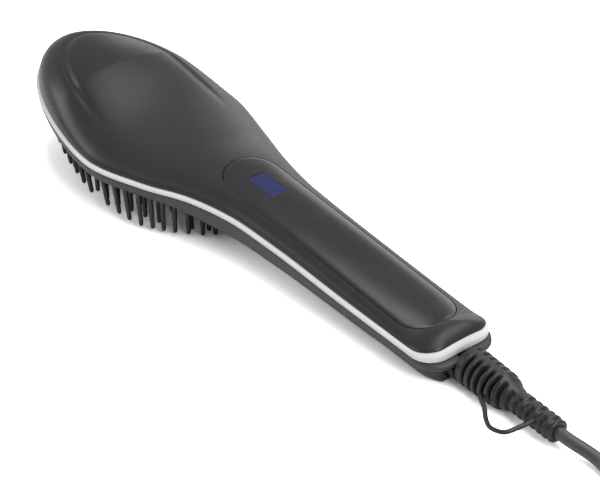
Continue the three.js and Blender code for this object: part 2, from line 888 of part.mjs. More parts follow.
function addBrushingFace() {
  part(brush, "bristle_frame", bristleFrame(), "black");
  part(brush, "heat_plate", heatPlate(), "black");
  part(brush, "front_heater", heater(0), "ceramic");
  part(brush, "rear_heater", heater(1), "ceramic");
  part(brush, "insulation_sheet", insulationSheet(), "mica");
  const clampTop = clampBase + clampThickness + seam;
  part(brush, "heater_clamp", heaterClamp(), "metal");
  clampScrewX.forEach((x, i) => {
    const s = screw(x, 0, clampTop, heaterBase - 0.1, clampScrewRadius, 2.1, 1.2);
    part(brush, `clamp_screw_${i + 1}`, s, "metal");
  });
  const bead = new THREE.SphereGeometry(1.5, 10, 6).scale(1.6, 1, 0.8);
  part(brush, "thermistor", bead.translate(heaterFront + 48, 18, heaterBase + 1.2), "black");
  const fuse = rodAlongX(1.6, -6, 6, 12).translate(heaterFront + 54, -19, heaterBase + 1.6);
  part(brush, "thermal_fuse", fuse, "ceramic");
}

function addElectronics() {
  const top = mainBoardBase + boardThickness;
  const main = box(mainBoardFront, mainBoardRear, -mainBoardHalfWidth, mainBoardHalfWidth, mainBoardBase, top);
  const clear = screwPlaces.map(([x, y]) => post(bossRadius + 0.6, x, y, 0, 20, 12));
  part(brush, "main_board", cut(main, ...clear), "board");
  const middle = windowFront + windowLength / 2;
  const moduleTop = bandHeight + seam + crest(middle) - panelThickness - 1.4;
  const half = windowWidth / 2 + 0.5;
  const module = box(windowFront + 2.5, windowFront + windowLength, -half, half, top + seam, moduleTop);
  part(brush, "display_module", module, "black");
  const boardTop = buttonBoardBase + boardThickness;
  const board = box(
    buttonBoardFront,
    buttonBoardRear,
    -buttonBoardHalfWidth,
    buttonBoardHalfWidth,
    buttonBoardBase,
    boardTop,
  );
  part(brush, "button_board", board, "board");
}

function addButtons() {
  for (const [name, x] of Object.entries(buttonPlaces)) {
    const outside = -seam - shellDepth(x) - buttonStand;
    const floor = innerFloor(x);
    const flangeTop = floor + seam + buttonFlange;
    const cap = post(buttonRadius, x, 0, outside, floor + seam + 0.2, 20);
    const flange = post(buttonRadius + 1.2, x, 0, floor + seam, flangeTop, 16);
    part(brush, name, joined(cap, flange), "black");
    const switchTop = buttonBoardBase - seam;
    const plungerEnd = flangeTop + buttonTravel + 0.15;
    const half = switchSize / 2;
    const body = box(x - half, x + half, -half, half, switchTop - switchHeight, switchTop);
    const plunger = post(1.6, x, 0, plungerEnd, switchTop - switchHeight + 0.2, 12);
    part(brush, name.replace("_button", "_switch"), joined(body, plunger), "metal");
  }
}

// Pieces that turn with the cord, drawn along the boot's axis from the swivel's centre.
const swivel = new THREE.Group();
swivel.position.set(swivelX, 0, swivelZ);
swivel.rotation.copy(swivelAngle);

function swivelStem() {
  return turned([
    [0, -stemRear],
    [coreRadius, -stemRear],
    [coreRadius, 0],
    [collarRadius, 0],
    [collarRadius, collarWidth],
    [stemRadius, collarWidth],
    [stemRadius, bootStart + stemGrip],
    [0, bootStart + stemGrip],
  ]);
}

function slipRing(index) {
  const x0 = -0.6 - ringWidth - index * ringSpacing;
  const bore = coreRadius + seam;
  return cut(rodAlongX(ringRadius, x0, x0 + ringWidth), rodAlongX(bore, x0 - 1, x0 + ringWidth + 1));
}

function bootProfile() {
  const end = bootLength;
  const bore = cordDiameter / 2 + seam;
  const profile = [
    [0, stemGrip + seam],
    [stemRadius + seam, stemGrip + seam],
    [stemRadius + seam, 0],
    [rootRadius, 0],
  ];
  for (let i = 1; i <= 3; i++) {
    const turn = (i / 3) * (Math.PI / 2);
    const swell = (bootRadius - rootRadius) * Math.sin(turn);
    profile.push([rootRadius + swell, rootLength * (1 - Math.cos(turn))]);
  }
  const shoulder = (share) => {
    const top = bootRadius - sleeveTaper;
    const radius = top + (bootNeckRadius - top) * smooth(share);
    return [radius, sleeveLength + shoulderLength * share];
  };
  profile.push(shoulder(0), shoulder(0.3), shoulder(0.7), shoulder(1));
  for (let i = grooveCount - 1; i >= 0; i--) {
    const x = end - lastGroove - i * groovePitch;
    const floor = bootNeckRadius - grooveDepth;
    profile.push(
      [bootNeckRadius, x - grooveWidth / 2],
      [floor, x - grooveWidth / 2 + 0.3],
      [floor, x + grooveWidth / 2 - 0.3],
      [bootNeckRadius, x + grooveWidth / 2],
    );
  }
  profile.push([bootNeckRadius, end - 1], [bootNeckRadius - 1, end]);
  profile.push([bore, end], [bore, end - 3], [0, end - 3]);
  return profile.map(([r, x]) => [r, x + bootStart]);
}

function bootSlot(index) {
  const x0 = bootStart + slotStart + index * slotPitch;
  const blade = cut(
    rodAlongX(bootRadius + 2, x0, x0 + slotWidth, 8),
    rodAlongX(slotFloor, x0 - 1, x0 + slotWidth + 1, 12),
  );
  return cut(blade, box(x0 - 1, x0 + slotWidth + 1, -spineHalfWidth, spineHalfWidth, -20, 20));
}

// The hang loop's points along the boot's axis; both ends sit in pockets in the boot.
const loopPoints = [
  [25.8, -4.8, -1],
  [28.2, -7.2, -1.4],
  [32.7, -9.3, -1.8],
  [36.5, -11.9, -2.2],
  [40.6, -13.8, -2.3],
  [43.9, -13.6, -2],
  [46.6, -12.2, -1.5],
  [48.1, -8.4, -0.6],
  [49.4, -3.7, 0.6],
  [49.7, -2.4, 1],
];

function boot() {
  const slots = Array.from({ length: slotCount }, (_, i) => bootSlot(i));
  const pocket = tube(curveThrough(loopPoints), loopRadius + seam, 18, 8);
  return cut(turned(bootProfile(), 16), ...slots, pocket);
}

function hangLoop() {
  const curve = curveThrough(loopPoints);
  const first = curve.getPointAt(0.04);
  const last = curve.getPointAt(0.96);
  const middle = curve.getSpacedPoints(24).slice(1, -1);
  return tube(new THREE.CatmullRomCurve3([first, ...middle, last]), loopRadius, 18, 8);
}

function addSwivel() {
  part(swivel, "swivel_stem", swivelStem(), "black");
  part(swivel, "front_slip_ring", slipRing(0), "copper");
  part(swivel, "rear_slip_ring", slipRing(1), "copper");
  part(swivel, "strain_relief_boot", boot(), "rubber");
  part(swivel, "hang_loop", hangLoop(), "rubber");
  brush.add(swivel);
  const bushEnds = [bulkheadPlace + 0.1, bulkheadPlace + bulkheadThickness - 0.1];
  const bush = cut(rodAlongX(bushRadius, ...bushEnds), rodAlongX(stemRadius + seam, 0, 10));
  part(brush, "swivel_bush", onSwivel(bush), "metal");
  const front = swivelX - blockFront;
  const rear = swivelX + bulkheadPlace + bulkheadThickness;
  const springs = [0, 1].map((index) => {
    const middle = swivelX - 0.6 - ringWidth / 2 - index * ringSpacing;
    return box(middle - 0.5, middle + 0.5, -1.2, 1.2, swivelZ + ringRadius + 0.5, blockBase + 0.5);
  });
  const body = box(front, rear, -blockHalfWidth, blockHalfWidth, blockBase, blockBase + 3);
  const contacts = joined(body, ...springs);
  part(brush, "contact_block", contacts, "ceramic");
}

// Insulated wires inside the housing.
function addWires() {
  const top = mainBoardBase + boardThickness + 1.1;
  const lead = (points) => tube(curveThrough(points), 0.8, 8, 6);
  const blockEnd = swivelX - blockFront - seam;
  const supply = (side) =>
    lead([
      [mainBoardRear - 10, side * 4, top],
      [mainBoardRear + 1, side * 3.8, top],
      [mainBoardRear + 7, side * 3.2, top - 2],
      [blockEnd - 3, side * 2.4, blockBase + 1.6],
      [blockEnd, side * 2.4, blockBase + 1.6],
    ]);
  part(brush, "live_lead", supply(1), "red");
  part(brush, "neutral_lead", supply(-1), "blue");
  const feed = (side) =>
    lead([
      [mainBoardFront + 8, side * 6, top],
      [mainBoardFront - 1, side * 6.1, top],
      [mainBoardFront - 6, side * 6.5, top - 2],
      [clampRear + 5, side * 7, heaterBase + 0.9],
      [clampRear + seam, side * 7, heaterBase + 0.9],
    ]);
  part(brush, "heater_lead_1", feed(1), "red");
  part(brush, "heater_lead_2", feed(-1), "blue");
}

addHousing();
addBrushingFace();
addElectronics();
addButtons();
addSwivel();
addWires();

// The origin is the middle of the brush's footprint.
const root = new THREE.Group();
brush.updateMatrixWorld(true);
const span = new THREE.Box3().setFromObject(brush, true);
const shiftX = -(span.min.x + span.max.x) / 2;
const shiftY = -(span.min.y + span.max.y) / 2;
brush.position.x = shiftX;
brush.position.y = shiftY;
root.add(brush);
brush.updateMatrixWorld(true);

// Cord pieces, in the frame of the finished part
function addCord() {
  const along = (x) => swivel.localToWorld(new THREE.Vector3(x, 0, 0));
  const bootEnd = bootStart + bootLength;
  const radius = cordDiameter / 2;
  const coil = new Coil();
  const heading = coil.getTangent(0.0005);
  const before = (d) => coil.getPoint(0).addScaledVector(heading, -d).setZ(cordRestHeight).toArray();
  const touch = along(bootEnd + touchLength).setZ(cordRestHeight + touchLift);
  touch.y += touchSide;
  const lead = [
    along(bootEnd - 3 + seam).toArray(),
    along(bootEnd + cordDiameter).toArray(),
    touch.toArray(),
    before(22),
    before(10),
    before(seam),
  ];
  part(root, "cord_lead", tube(curveThrough(lead), radius, 12, 10), "rubber");
  const steps = Math.round(24 * (coilLayers * (coilTurns + 0.5) - 0.5));
  part(root, "cord_coil", tube(coil, radius, steps, 6), "rubber");
  const leave = coil.getTangent(0.9995);
  const after = (d) => coil.getPoint(1).addScaledVector(leave, d).toArray();
  const plugHeight = plugThickness / 2 + 0.1;
  const toPlug = (d) => [plugRear[0] + d, plugRear[1], plugHeight];
  const tail = [after(seam), after(9), [291, 36, 15], [290, 51, 10.5], toPlug(16), toPlug(8), toPlug(seam)];
  part(root, "cord_tail", tube(curveThrough(tail), radius, 12, 10), "rubber");
  addPlug(plugHeight);
  const points = coil.getSpacedPoints(steps * 3);
  console.log("coil's least gap to itself", leastGap(points, cordDiameter, 36).toFixed(2), "mm");
}

// A flat two-pin plug: its body tapers from the pin face to the cord.
function addPlug(height) {
  const section = (x, halfWidth, halfHeight) =>
    Array.from({ length: 16 }, (_, i) => {
      const angle = (i / 16) * 2 * Math.PI;
      const c = Math.cos(angle);
      const s = Math.sin(angle);
      const y = halfWidth * Math.sign(c) * Math.abs(c) ** 0.5;
      const z = halfHeight * Math.sign(s) * Math.abs(s) ** 0.5;
      return [x, y, z];
    });
  const halfWide = plugWidth / 2;
  const halfThick = plugThickness / 2;
  const face = -plugLength;
  const point = (x) => section(x, 0, 0);
  const body = loft([
    point(face),
    section(face, halfWide - 1, halfThick - 1),
    section(face + 1.2, halfWide, halfThick),
    section(face + 9, halfWide, halfThick),
    section(face + 20, halfWide * 0.5, halfThick * 0.92),
    section(-3, cordDiameter * 0.85, cordDiameter * 0.85),
    section(0, cordDiameter * 0.75, cordDiameter * 0.75),
    point(0),
  ]);
  const plug = new THREE.Group();
  plug.position.set(plugRear[0], plugRear[1], height);
  const seat = 4;
  const pins = [-1, 1].map((side) => {
    const pin = turned([
      [0, -plugPinLength],
      [plugPinRadius * 0.6, -plugPinLength],
      [plugPinRadius, -plugPinLength + 1.6],
      [plugPinRadius, seat],
      [0, seat],
    ], 12);
    return pin.translate(face, (side * plugPinSpacing) / 2, 0);
  });
  const bores = [-1, 1].map((side) =>
    rodAlongX(plugPinRadius + seam, face - 1, face + seat + seam, 12).translate(
      0,
      (side * plugPinSpacing) / 2,
      0,
    ),
  );
  part(plug, "plug_body", cut(body, ...bores), "rubber");
  pins.forEach((pin, i) => part(plug, `plug_pin_${i + 1}`, pin, "metal"));
  root.add(plug);
}

addCord();

export default root;
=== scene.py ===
# %% [markdown]
# # A hair straightening brush
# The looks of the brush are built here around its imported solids. Every piece is drawn in the
# brush's own frame, in millimetres: +X runs from the head to the cord, the near side is -Y, and
# z = 0 is the lower edge of the bright trim band. `world` then tilts it to where it lies on the
# table, on its rear bristle tips and its boot.

import json
import math

import bmesh
import bpy
import numpy as np
from mathutils import Matrix, Vector

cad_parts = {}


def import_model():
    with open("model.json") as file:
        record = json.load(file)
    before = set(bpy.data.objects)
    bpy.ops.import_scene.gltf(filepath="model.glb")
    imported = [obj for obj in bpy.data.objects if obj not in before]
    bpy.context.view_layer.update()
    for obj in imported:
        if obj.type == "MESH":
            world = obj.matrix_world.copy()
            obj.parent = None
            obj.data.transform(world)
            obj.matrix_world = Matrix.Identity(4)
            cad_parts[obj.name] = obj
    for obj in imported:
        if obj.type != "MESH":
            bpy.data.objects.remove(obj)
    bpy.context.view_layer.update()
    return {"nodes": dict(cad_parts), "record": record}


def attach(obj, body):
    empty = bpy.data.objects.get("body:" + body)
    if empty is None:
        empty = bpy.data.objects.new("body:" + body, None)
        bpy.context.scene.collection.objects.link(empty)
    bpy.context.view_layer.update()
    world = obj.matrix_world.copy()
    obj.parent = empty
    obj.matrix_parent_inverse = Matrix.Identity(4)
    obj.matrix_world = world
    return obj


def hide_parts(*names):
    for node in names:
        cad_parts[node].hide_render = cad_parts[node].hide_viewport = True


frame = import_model()

PITCH = math.radians(4.319641669278576)
COS, SIN = math.cos(PITCH), math.sin(PITCH)
REST_X, REST_Z = -23.930926, 19.916993


def turned_with_brush(v):
    """A direction of the brush's frame, as a direction in the row frame."""
    v = np.asarray(v, float)
    return np.stack([v[..., 0] * COS + v[..., 2] * SIN, v[..., 1], v[..., 2] * COS - v[..., 0] * SIN], -1)


def world(points):
    """Points of the brush's frame, in mm, as points of the row frame, in metres."""
    return (turned_with_brush(points) + [REST_X, 0, REST_Z]) / 1000


def in_scene(name, data):
    """A new object of the scene that holds data."""
    made = bpy.data.objects.new(name, data)
    bpy.context.scene.collection.objects.link(made)
    return made


# %% [markdown]
# ## Camera
# The viewpoint was solved from the trim band's edges, the grip, the boot and the bristle tips as
# they stand in the picture: from above the near side, behind the tail, with a fairly long lens.
# A perspective view needs its distance right as well as its angle, because the tail is drawn
# larger than the head.

# %% Camera
VIEW_ANGLE, VIEW_RISE, VIEW_DISTANCE = math.radians(51.82), math.radians(35.28), 621.25
level = math.cos(VIEW_RISE)
back = np.array([math.sin(VIEW_ANGLE) * level, -math.cos(VIEW_ANGLE) * level, math.sin(VIEW_RISE)])
right = np.array([math.cos(VIEW_ANGLE), math.sin(VIEW_ANGLE), 0.0])
VIEW_AIM = [43.12, -3.43, 0]
eye = world(VIEW_AIM + VIEW_DISTANCE * back)
axes = [turned_with_brush(v) for v in (right, np.cross(back, right), back)]
camera = in_scene("camera", bpy.data.cameras.new("camera"))
camera.data.lens, camera.data.sensor_width = 102, 36
camera.data.clip_start, camera.data.clip_end = 0.05, 20
camera.matrix_world = Matrix([*np.column_stack([*axes, eye]).tolist(), [0, 0, 0, 1]])
bpy.context.scene.camera = camera
bpy.context.scene.view_settings.view_transform = "Standard"
print("camera at", np.round(eye, 3).tolist())

# %% [markdown]
# ## Table and light
# Product pictures like this are taken on a white sweep under large soft lights. One softbox hangs
# over the brush. The other three stand low, where the satin plastic mirrors them to the camera:
# past the head for its near skirt, past the far side for the far edges, and behind the tail. The
# table and the backdrop are brighter for the camera than for anything else, so the paper comes
# out white with only the close part of the shadow left, and no extra light falls on the brush.


# %% Table and light
def linear(hex_colour):
    """A colour as seen on screen, as the linear values that a shader takes."""
    seen = [int(hex_colour[i : i + 2], 16) / 255 for i in (0, 2, 4)]
    return [v / 12.92 if v <= 0.04045 else ((v + 0.055) / 1.055) ** 2.4 for v in seen]


def softbox(name, place, aim, size, watts):
    """A rectangular light at place, in metres, that faces aim."""
    lamp = in_scene(name, bpy.data.lights.new(name, "AREA"))
    lamp.data.shape, lamp.data.size, lamp.data.size_y = "RECTANGLE", *size
    lamp.data.energy = watts
    lamp.location = place
    lamp.rotation_mode = "QUATERNION"
    lamp.rotation_quaternion = (Vector(place) - Vector(aim)).to_track_quat("Z", "Y")
    return lamp


def split_by_ray(tree, for_light, for_camera, surface):
    """Gives camera rays one shader and all other light another."""
    ray, mix = tree.nodes.new("ShaderNodeLightPath"), tree.nodes.new("ShaderNodeMixShader")
    tree.links.new(ray.outputs["Is Camera Ray"], mix.inputs["Fac"])
    tree.links.new(for_light, mix.inputs[1])
    tree.links.new(for_camera, mix.inputs[2])
    tree.links.new(mix.outputs[0], surface)


WORLD_FOR_LIGHT, WORLD_FOR_CAMERA = 0.4, 1.0
TABLE_FOR_LIGHT, TABLE_FOR_CAMERA = 0.85, 2.0
studio = bpy.data.worlds.new("studio")
bpy.context.scene.world = studio
studio.use_nodes = True
nodes = studio.node_tree.nodes
sky, paper = nodes["Background"], nodes.new("ShaderNodeBackground")
for background, strength in ((sky, WORLD_FOR_LIGHT), (paper, WORLD_FOR_CAMERA)):
    background.inputs["Color"].default_value = (1, 1, 1, 1)
    background.inputs["Strength"].default_value = strength
split_by_ray(studio.node_tree, sky.outputs[0], paper.outputs[0], nodes["World Output"].inputs["Surface"])

softbox("overhead_softbox", (0.15, 0.3, 1.15), (0.0, 0, 0), (1.4, 1.0), 15)
softbox("head_softbox", (-0.78, -0.55, 0.44), (-0.05, 0, 0.02), (0.5, 0.4), 2.8)
softbox("far_softbox", (-0.6, 0.85, 0.3), (0.02, 0, 0.02), (0.9, 0.35), 1.8)
softbox("tail_softbox", (0.9, -0.05, 0.6), (0.12, 0, 0.01), (0.5, 0.4), 5.0)

table = in_scene("table", bpy.data.meshes.new("table"))
table.data.from_pydata([(-3, -3, 0), (3, -3, 0), (3, 3, 0), (-3, 3, 0)], [], [(0, 1, 2, 3)])
white = bpy.data.materials.new("table_white")
white.use_nodes = True
nodes = white.node_tree.nodes
nodes.remove(nodes["Principled BSDF"])
shades = []
for lit in (TABLE_FOR_LIGHT, TABLE_FOR_CAMERA):
    shade = nodes.new("ShaderNodeBsdfDiffuse")
    shade.inputs["Color"].default_value = (lit, lit, lit, 1)
    shades.append(shade.outputs[0])
split_by_ray(white.node_tree, *shades, nodes["Material Output"].inputs["Surface"])
table.data.materials.append(white)

# %% [markdown]
# ## Finishes
# Injection-moulded plastic is never one flat colour: the mould's fine spark texture scatters the
# light, and the melt cools a little unevenly. Each finish below is a base colour that drifts
# slightly, a roughness that drifts with its own noise, and a fine bump. Noise in object
# coordinates is the same in size on every piece, as one mould texture is.


# %% Finishes
def finish(name, colour, drift=0.1, grain=900, bump=0.12, rough=(0.4, 0.5), metal=0.0, blotch=60, spec=0.5):
    """A procedural finish: colour (linear) drifts by a share of itself, roughness between two values."""
    m = bpy.data.materials.new(name)
    m.use_nodes = True
    n, l = m.node_tree.nodes, m.node_tree.links
    surface = n["Principled BSDF"]
    place = n.new("ShaderNodeTexCoord")

    def noise(scale, detail):
        t = n.new("ShaderNodeTexNoise")
        t.inputs["Scale"].default_value = scale
        t.inputs["Detail"].default_value = detail
        l.new(place.outputs["Object"], t.inputs["Vector"])
        return t.outputs["Fac"]

    ramp = n.new("ShaderNodeValToRGB")
    ramp.color_ramp.elements[0].position, ramp.color_ramp.elements[1].position = 0.3, 0.7
    ramp.color_ramp.elements[0].color = (*[v * (1 - drift) for v in colour], 1)
    ramp.color_ramp.elements[1].color = (*[min(v * (1 + drift), 1) for v in colour], 1)
    l.new(noise(blotch, 4), ramp.inputs["Fac"])
    l.new(ramp.outputs["Color"], surface.inputs["Base Color"])
    spread = n.new("ShaderNodeMapRange")
    spread.inputs["From Min"].default_value, spread.inputs["From Max"].default_value = 0.3, 0.7
    spread.inputs["To Min"].default_value, spread.inputs["To Max"].default_value = rough
    l.new(noise(grain / 3, 3), spread.inputs["Value"])
    l.new(spread.outputs["Result"], surface.inputs["Roughness"])
    relief = n.new("ShaderNodeBump")
    relief.inputs["Strength"].default_value = bump
    relief.inputs["Distance"].default_value = 0.00005
    l.new(noise(grain, 2), relief.inputs["Height"])
    l.new(relief.outputs["Normal"], surface.inputs["Normal"])
    surface.inputs["Metallic"].default_value = metal
    surface.inputs["Specular IOR Level"].default_value = spec
    return m


FINISHES = {
    "shell": finish("satin_charcoal", linear("242426"), 0.07, 1500, 0.05, (0.33, 0.39), blotch=40, spec=0.3),
    "under_shell": finish("satin_grey", linear("3a3a3c"), 0.06, 1500, 0.06, (0.42, 0.5), spec=0.25),
    "band": finish("silver_paint", linear("c8c9ca"), 0.03, 3000, 0.04, (0.42, 0.5), spec=0.3),
    "panel": finish("semi_gloss_panel", linear("242426"), 0.06, 1800, 0.02, (0.18, 0.24), blotch=30, spec=0.4),
    "window": finish("tinted_window", linear("262d56"), 0.06, 600, 0.02, (0.12, 0.2), blotch=90, spec=0.25),
    "bristle": finish("bristle_black", linear("1a1a1c"), 0.12, 2500, 0.15, (0.4, 0.5)),
    "plate": finish("coated_plate", linear("161618"), 0.15, 2200, 0.2, (0.45, 0.6)),
    "button": finish("button_grey", linear("2c2c2e"), 0.08, 2200, 0.2, (0.45, 0.55)),
    "ceramic": finish("heater_ceramic", linear("e8e2d4"), 0.05, 1600, 0.3, (0.55, 0.75)),
    "mica": finish("mica_sheet", linear("b9a57c"), 0.2, 700, 0.4, (0.35, 0.6), blotch=200),
    "board": finish("solder_mask", linear("1f5a38"), 0.12, 1200, 0.2, (0.3, 0.45), blotch=300),
    "steel": finish("plain_steel", linear("c4c5c8"), 0.08, 1500, 0.15, (0.25, 0.4), metal=1.0),
    "copper": finish("ring_copper", linear("c8824a"), 0.12, 1500, 0.2, (0.25, 0.45), metal=1.0),
    "boot_rubber": finish("boot_rubber", linear("161618"), 0.12, 2600, 0.25, (0.38, 0.48), blotch=120),
    "red_wire": finish("red_insulation", linear("a03228"), 0.08, 1500, 0.1, (0.35, 0.5)),
    "blue_wire": finish("blue_insulation", linear("2c4c88"), 0.08, 1500, 0.1, (0.35, 0.5)),
    "cord": finish("cord_black", linear("38383a"), 0.1, 2600, 0.1, (0.36, 0.46), blotch=120),
}
slot_of = {row["node"]: row["material_slot"] for row in frame["record"]["subparts"]}
for name, node in frame["nodes"].items():
    node.data.materials.clear()
    node.data.materials.append(FINISHES[slot_of[name]])
print(len(FINISHES), "finishes on", len(frame["nodes"]), "solids")

# %% [markdown]
# ## Meshes from rings
# Most of the brush is lofted: closed rings of points, one inside the other or one behind the
# next, joined by four-sided faces. `skin` joins them, closes the poles by merging what coincides,
# turns the faces outwards and marks only real edges as sharp.


# %% Mesh tools
def clean(mesh, sharp=40):
    """Merges coinciding points, faces outwards, smooth but for edges sharper than sharp degrees."""
    b = bmesh.new()
    b.from_mesh(mesh)
    bmesh.ops.remove_doubles(b, verts=b.verts, dist=2e-6)
    bmesh.ops.dissolve_degenerate(b, edges=b.edges, dist=1e-7)
    bmesh.ops.recalc_face_normals(b, faces=b.faces)
    for f in b.faces:
        f.smooth = True
    for e in b.edges:
        e.smooth = len(e.link_faces) == 2 and e.calc_face_angle(0) < math.radians(sharp)
    b.to_mesh(mesh)
    b.free()


def piece(name, mesh, body, slot, *nodes):
    """A finished piece that stands for these solids and moves with a body."""
    o = in_scene(name, mesh)
    mesh.materials.clear()
    mesh.materials.append(FINISHES[slot])
    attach(o, body)
    if nodes:
        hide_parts(*nodes)
    print(f"{name}: {len(mesh.polygons)} faces")
    return o


def skin(name, rings, wrap=False, placed=world, sharp=40):
    """A mesh from equal rings of points; wrap joins the last ring to the first."""
    rings = np.asarray(rings, float)
    count, around = rings.shape[:2]
    faces = []
    for r in range(count if wrap else count - 1):
        a, b = r * around, (r + 1) % count * around
        faces += [(a + i, a + (i + 1) % around, b + (i + 1) % around, b + i) for i in range(around)]
    mesh = bpy.data.meshes.new(name)
    mesh.from_pydata(placed(rings.reshape(-1, 3)).tolist(), [], faces)
    clean(mesh, sharp)
    return mesh


def joined(name, meshes):
    """Several meshes as one."""
    b = bmesh.new()
    for m in meshes:
        b.from_mesh(m)
    mesh = bpy.data.meshes.new(name)
    b.to_mesh(mesh)
    b.free()
    return mesh


def carved(mesh, cutters, sharp=40):
    """The mesh with the cutters taken out of it."""
    base = in_scene("being_carved", mesh)
    tools = [in_scene("cutter", c) for c in cutters]
    for tool in tools:
        cut = base.modifiers.new("cut", "BOOLEAN")
        cut.operation, cut.solver, cut.object = "DIFFERENCE", "EXACT", tool
    graph = bpy.context.evaluated_depsgraph_get()
    made = bpy.data.meshes.new_from_object(base.evaluated_get(graph))
    for o in (base, *tools):
        bpy.data.objects.remove(o)
    clean(made, sharp)
    return made


def prism(outline, z0, z1):
    """An upright cutter over a convex outline of [x, y]."""
    outline = np.asarray(outline, float)
    middle = np.broadcast_to(outline.mean(0), outline.shape)
    levels = ((middle, z0), (outline, z0), (outline, z1), (middle, z1))
    rings = [np.c_[xy, np.full(len(outline), z)] for xy, z in levels]
    return skin("prism", rings)


def disc(x, y, radius, steps=48):
    turn = np.linspace(0, 2 * math.pi, steps, endpoint=False)
    return np.c_[x + radius * np.cos(turn), y + radius * np.sin(turn)]


def stadium(x0, x1, half, steps=64):
    """The outline of a slot with round ends, with points all along its straight sides too."""
    turn = np.linspace(0, 2 * math.pi, 2 * steps, endpoint=False) + math.pi / steps / 2
    side = np.where(np.cos(turn) > 0, x1 - half, x0 + half)
    points = np.c_[side + half * np.cos(turn), half * np.sin(turn)]
    extra = np.linspace(x0 + half, x1 - half, 90)
    near = np.c_[extra, np.full(90, -half)]
    far = np.c_[extra[::-1], np.full(90, half)]
    front = points[np.cos(turn) <= 0]
    rear = points[np.cos(turn) > 0]
    rear = rear[np.argsort(np.arctan2(rear[:, 1], rear[:, 0] - (x1 - half)))]
    front = front[np.argsort(np.mod(np.arctan2(front[:, 1], front[:, 0] - (x0 + half)), 2 * math.pi))]
    return np.vstack([near[:-1], rear, far[:-1], front])


def smooth(t):
    c = np.clip(t, 0, 1)
    return c * c * (3 - 2 * c)


def through(x, places, values):
    """A smooth curve through a few measured values."""
    places, values = np.asarray(places, float), np.asarray(values, float)
    slope = np.gradient(values, places)
    slope[0] = slope[-1] = 0
    x = np.clip(x, places[0], places[-1])
    i = np.clip(np.searchsorted(places, x, side="right") - 1, 0, len(places) - 2)
    h = places[i + 1] - places[i]
    t = (x - places[i]) / h
    return (
        values[i] * (1 + 2 * t) * (1 - t) ** 2
        + values[i + 1] * t * t * (3 - 2 * t)
        + h * (slope[i] * t * (1 - t) ** 2 - slope[i + 1] * t * t * (1 - t))
    )


# %% [markdown]
# ## The body's outline and its line of parting
# The plan is half an oval head, a neck that swings in, a nearly straight grip and a square tail
# with rounded corners. The two shells don't part in a plane: the line bows up at the head's nose
# and again at the neck by a few millimetres, which the picture shows in the bright band. The
# numbers are heights and half widths measured there.

# %% Outline
TIP, TAIL = -127.5, 127.5
HEAD_X, HEAD_HALF = -50.5, 37.3
HEAD_LENGTH = HEAD_X - TIP
CORNER = 8.5
CAP = TAIL - CORNER
SPINE = (TIP + 50, TAIL - 10)
WIDTH_X = [-50.5, -22, 0, 20, 42, 80, 119]
WIDTH_Y = [37.3, 30.7, 23.5, 19.2, 17.6, 16.7, 16.3]
BOW_X = [-127.5, -90, -50, -20, 0, 20, 45, 80, 119]
BOW_Z = [3.4, 2.6, -1.0, 0.0, 1.9, 2.3, 1.7, 0.4, 0]


def bow(x):
    return through(x, BOW_X, BOW_Z)


def grip_half(x):
    return through(x, WIDTH_X, WIDTH_Y)


def half_width(x):
    """Half width of the body at x."""
    x = np.asarray(x, float)
    t = np.clip((HEAD_X - x) / HEAD_LENGTH, 0, 1)
    head = HEAD_HALF * (1 - t**1.9) ** (1 / 1.9)
    past = np.clip(x - CAP, 0, CORNER)
    return np.where(x <= HEAD_X, head, grip_half(x) - CORNER + np.sqrt(CORNER**2 - past**2))


def closed(half):
    """Both halves of an outline with outward normals, from the half at +Y: x, y, nx, ny."""
    half = np.asarray(half, float)
    xy = np.vstack([half[::-1], half[1:-1] * [1, -1]])
    along = np.roll(xy, -1, 0) - np.roll(xy, 1, 0)
    along /= np.linalg.norm(along, axis=1)[:, None]
    return np.c_[xy, along[:, 1], -along[:, 0]]


turn = np.linspace(0, math.pi / 2, 70)[:-1]
head_part = np.c_[HEAD_X - HEAD_LENGTH * np.cos(turn) ** (2 / 1.9), HEAD_HALF * np.sin(turn) ** (2 / 1.9)]
grip_x = np.linspace(HEAD_X, CAP, 120)[:-1]
turn = np.linspace(0, math.pi / 2, 12)
corner = np.c_[CAP + CORNER * np.sin(turn), grip_half(CAP) - CORNER * (1 - np.cos(turn))]
tail_y = np.linspace(corner[-1, 1], 0, 9)[1:]
grip_part, tail_part = np.c_[grip_x, grip_half(grip_x)], np.c_[np.full(8, TAIL), tail_y]
BODY = closed(np.vstack([head_part, grip_part, corner, tail_part]))
print("outline of", len(BODY), "points")


def ring(outline, inset, share, height, spine=SPINE, along=None):
    """A ring: the outline moved in by inset, drawn to the spine by share, at height(x, share, y)."""
    x, y, nx, ny = outline.T
    inset = np.broadcast_to(inset, x.shape)
    share = np.broadcast_to(share, x.shape)
    middle = np.clip(x, *spine)
    px = x - nx * (inset if along is None else along)
    made_x = middle + (px - middle) * share
    made_y = np.where(y == 0, 0, y - ny * inset) * share
    return np.c_[made_x, made_y, np.broadcast_to(height(made_x, share, made_y), x.shape)]


# %% [markdown]
# ## Upper shell
# One moulding from the head to the tail: a full dome over the head that falls to a flatter crown
# along the grip. A crease in the shape of a horseshoe sets the dome's crown off from its skirt and
# dies out at the neck. Real shells get such a crease to break up the reflection on a large smooth
# surface, where the smallest sink mark would show.

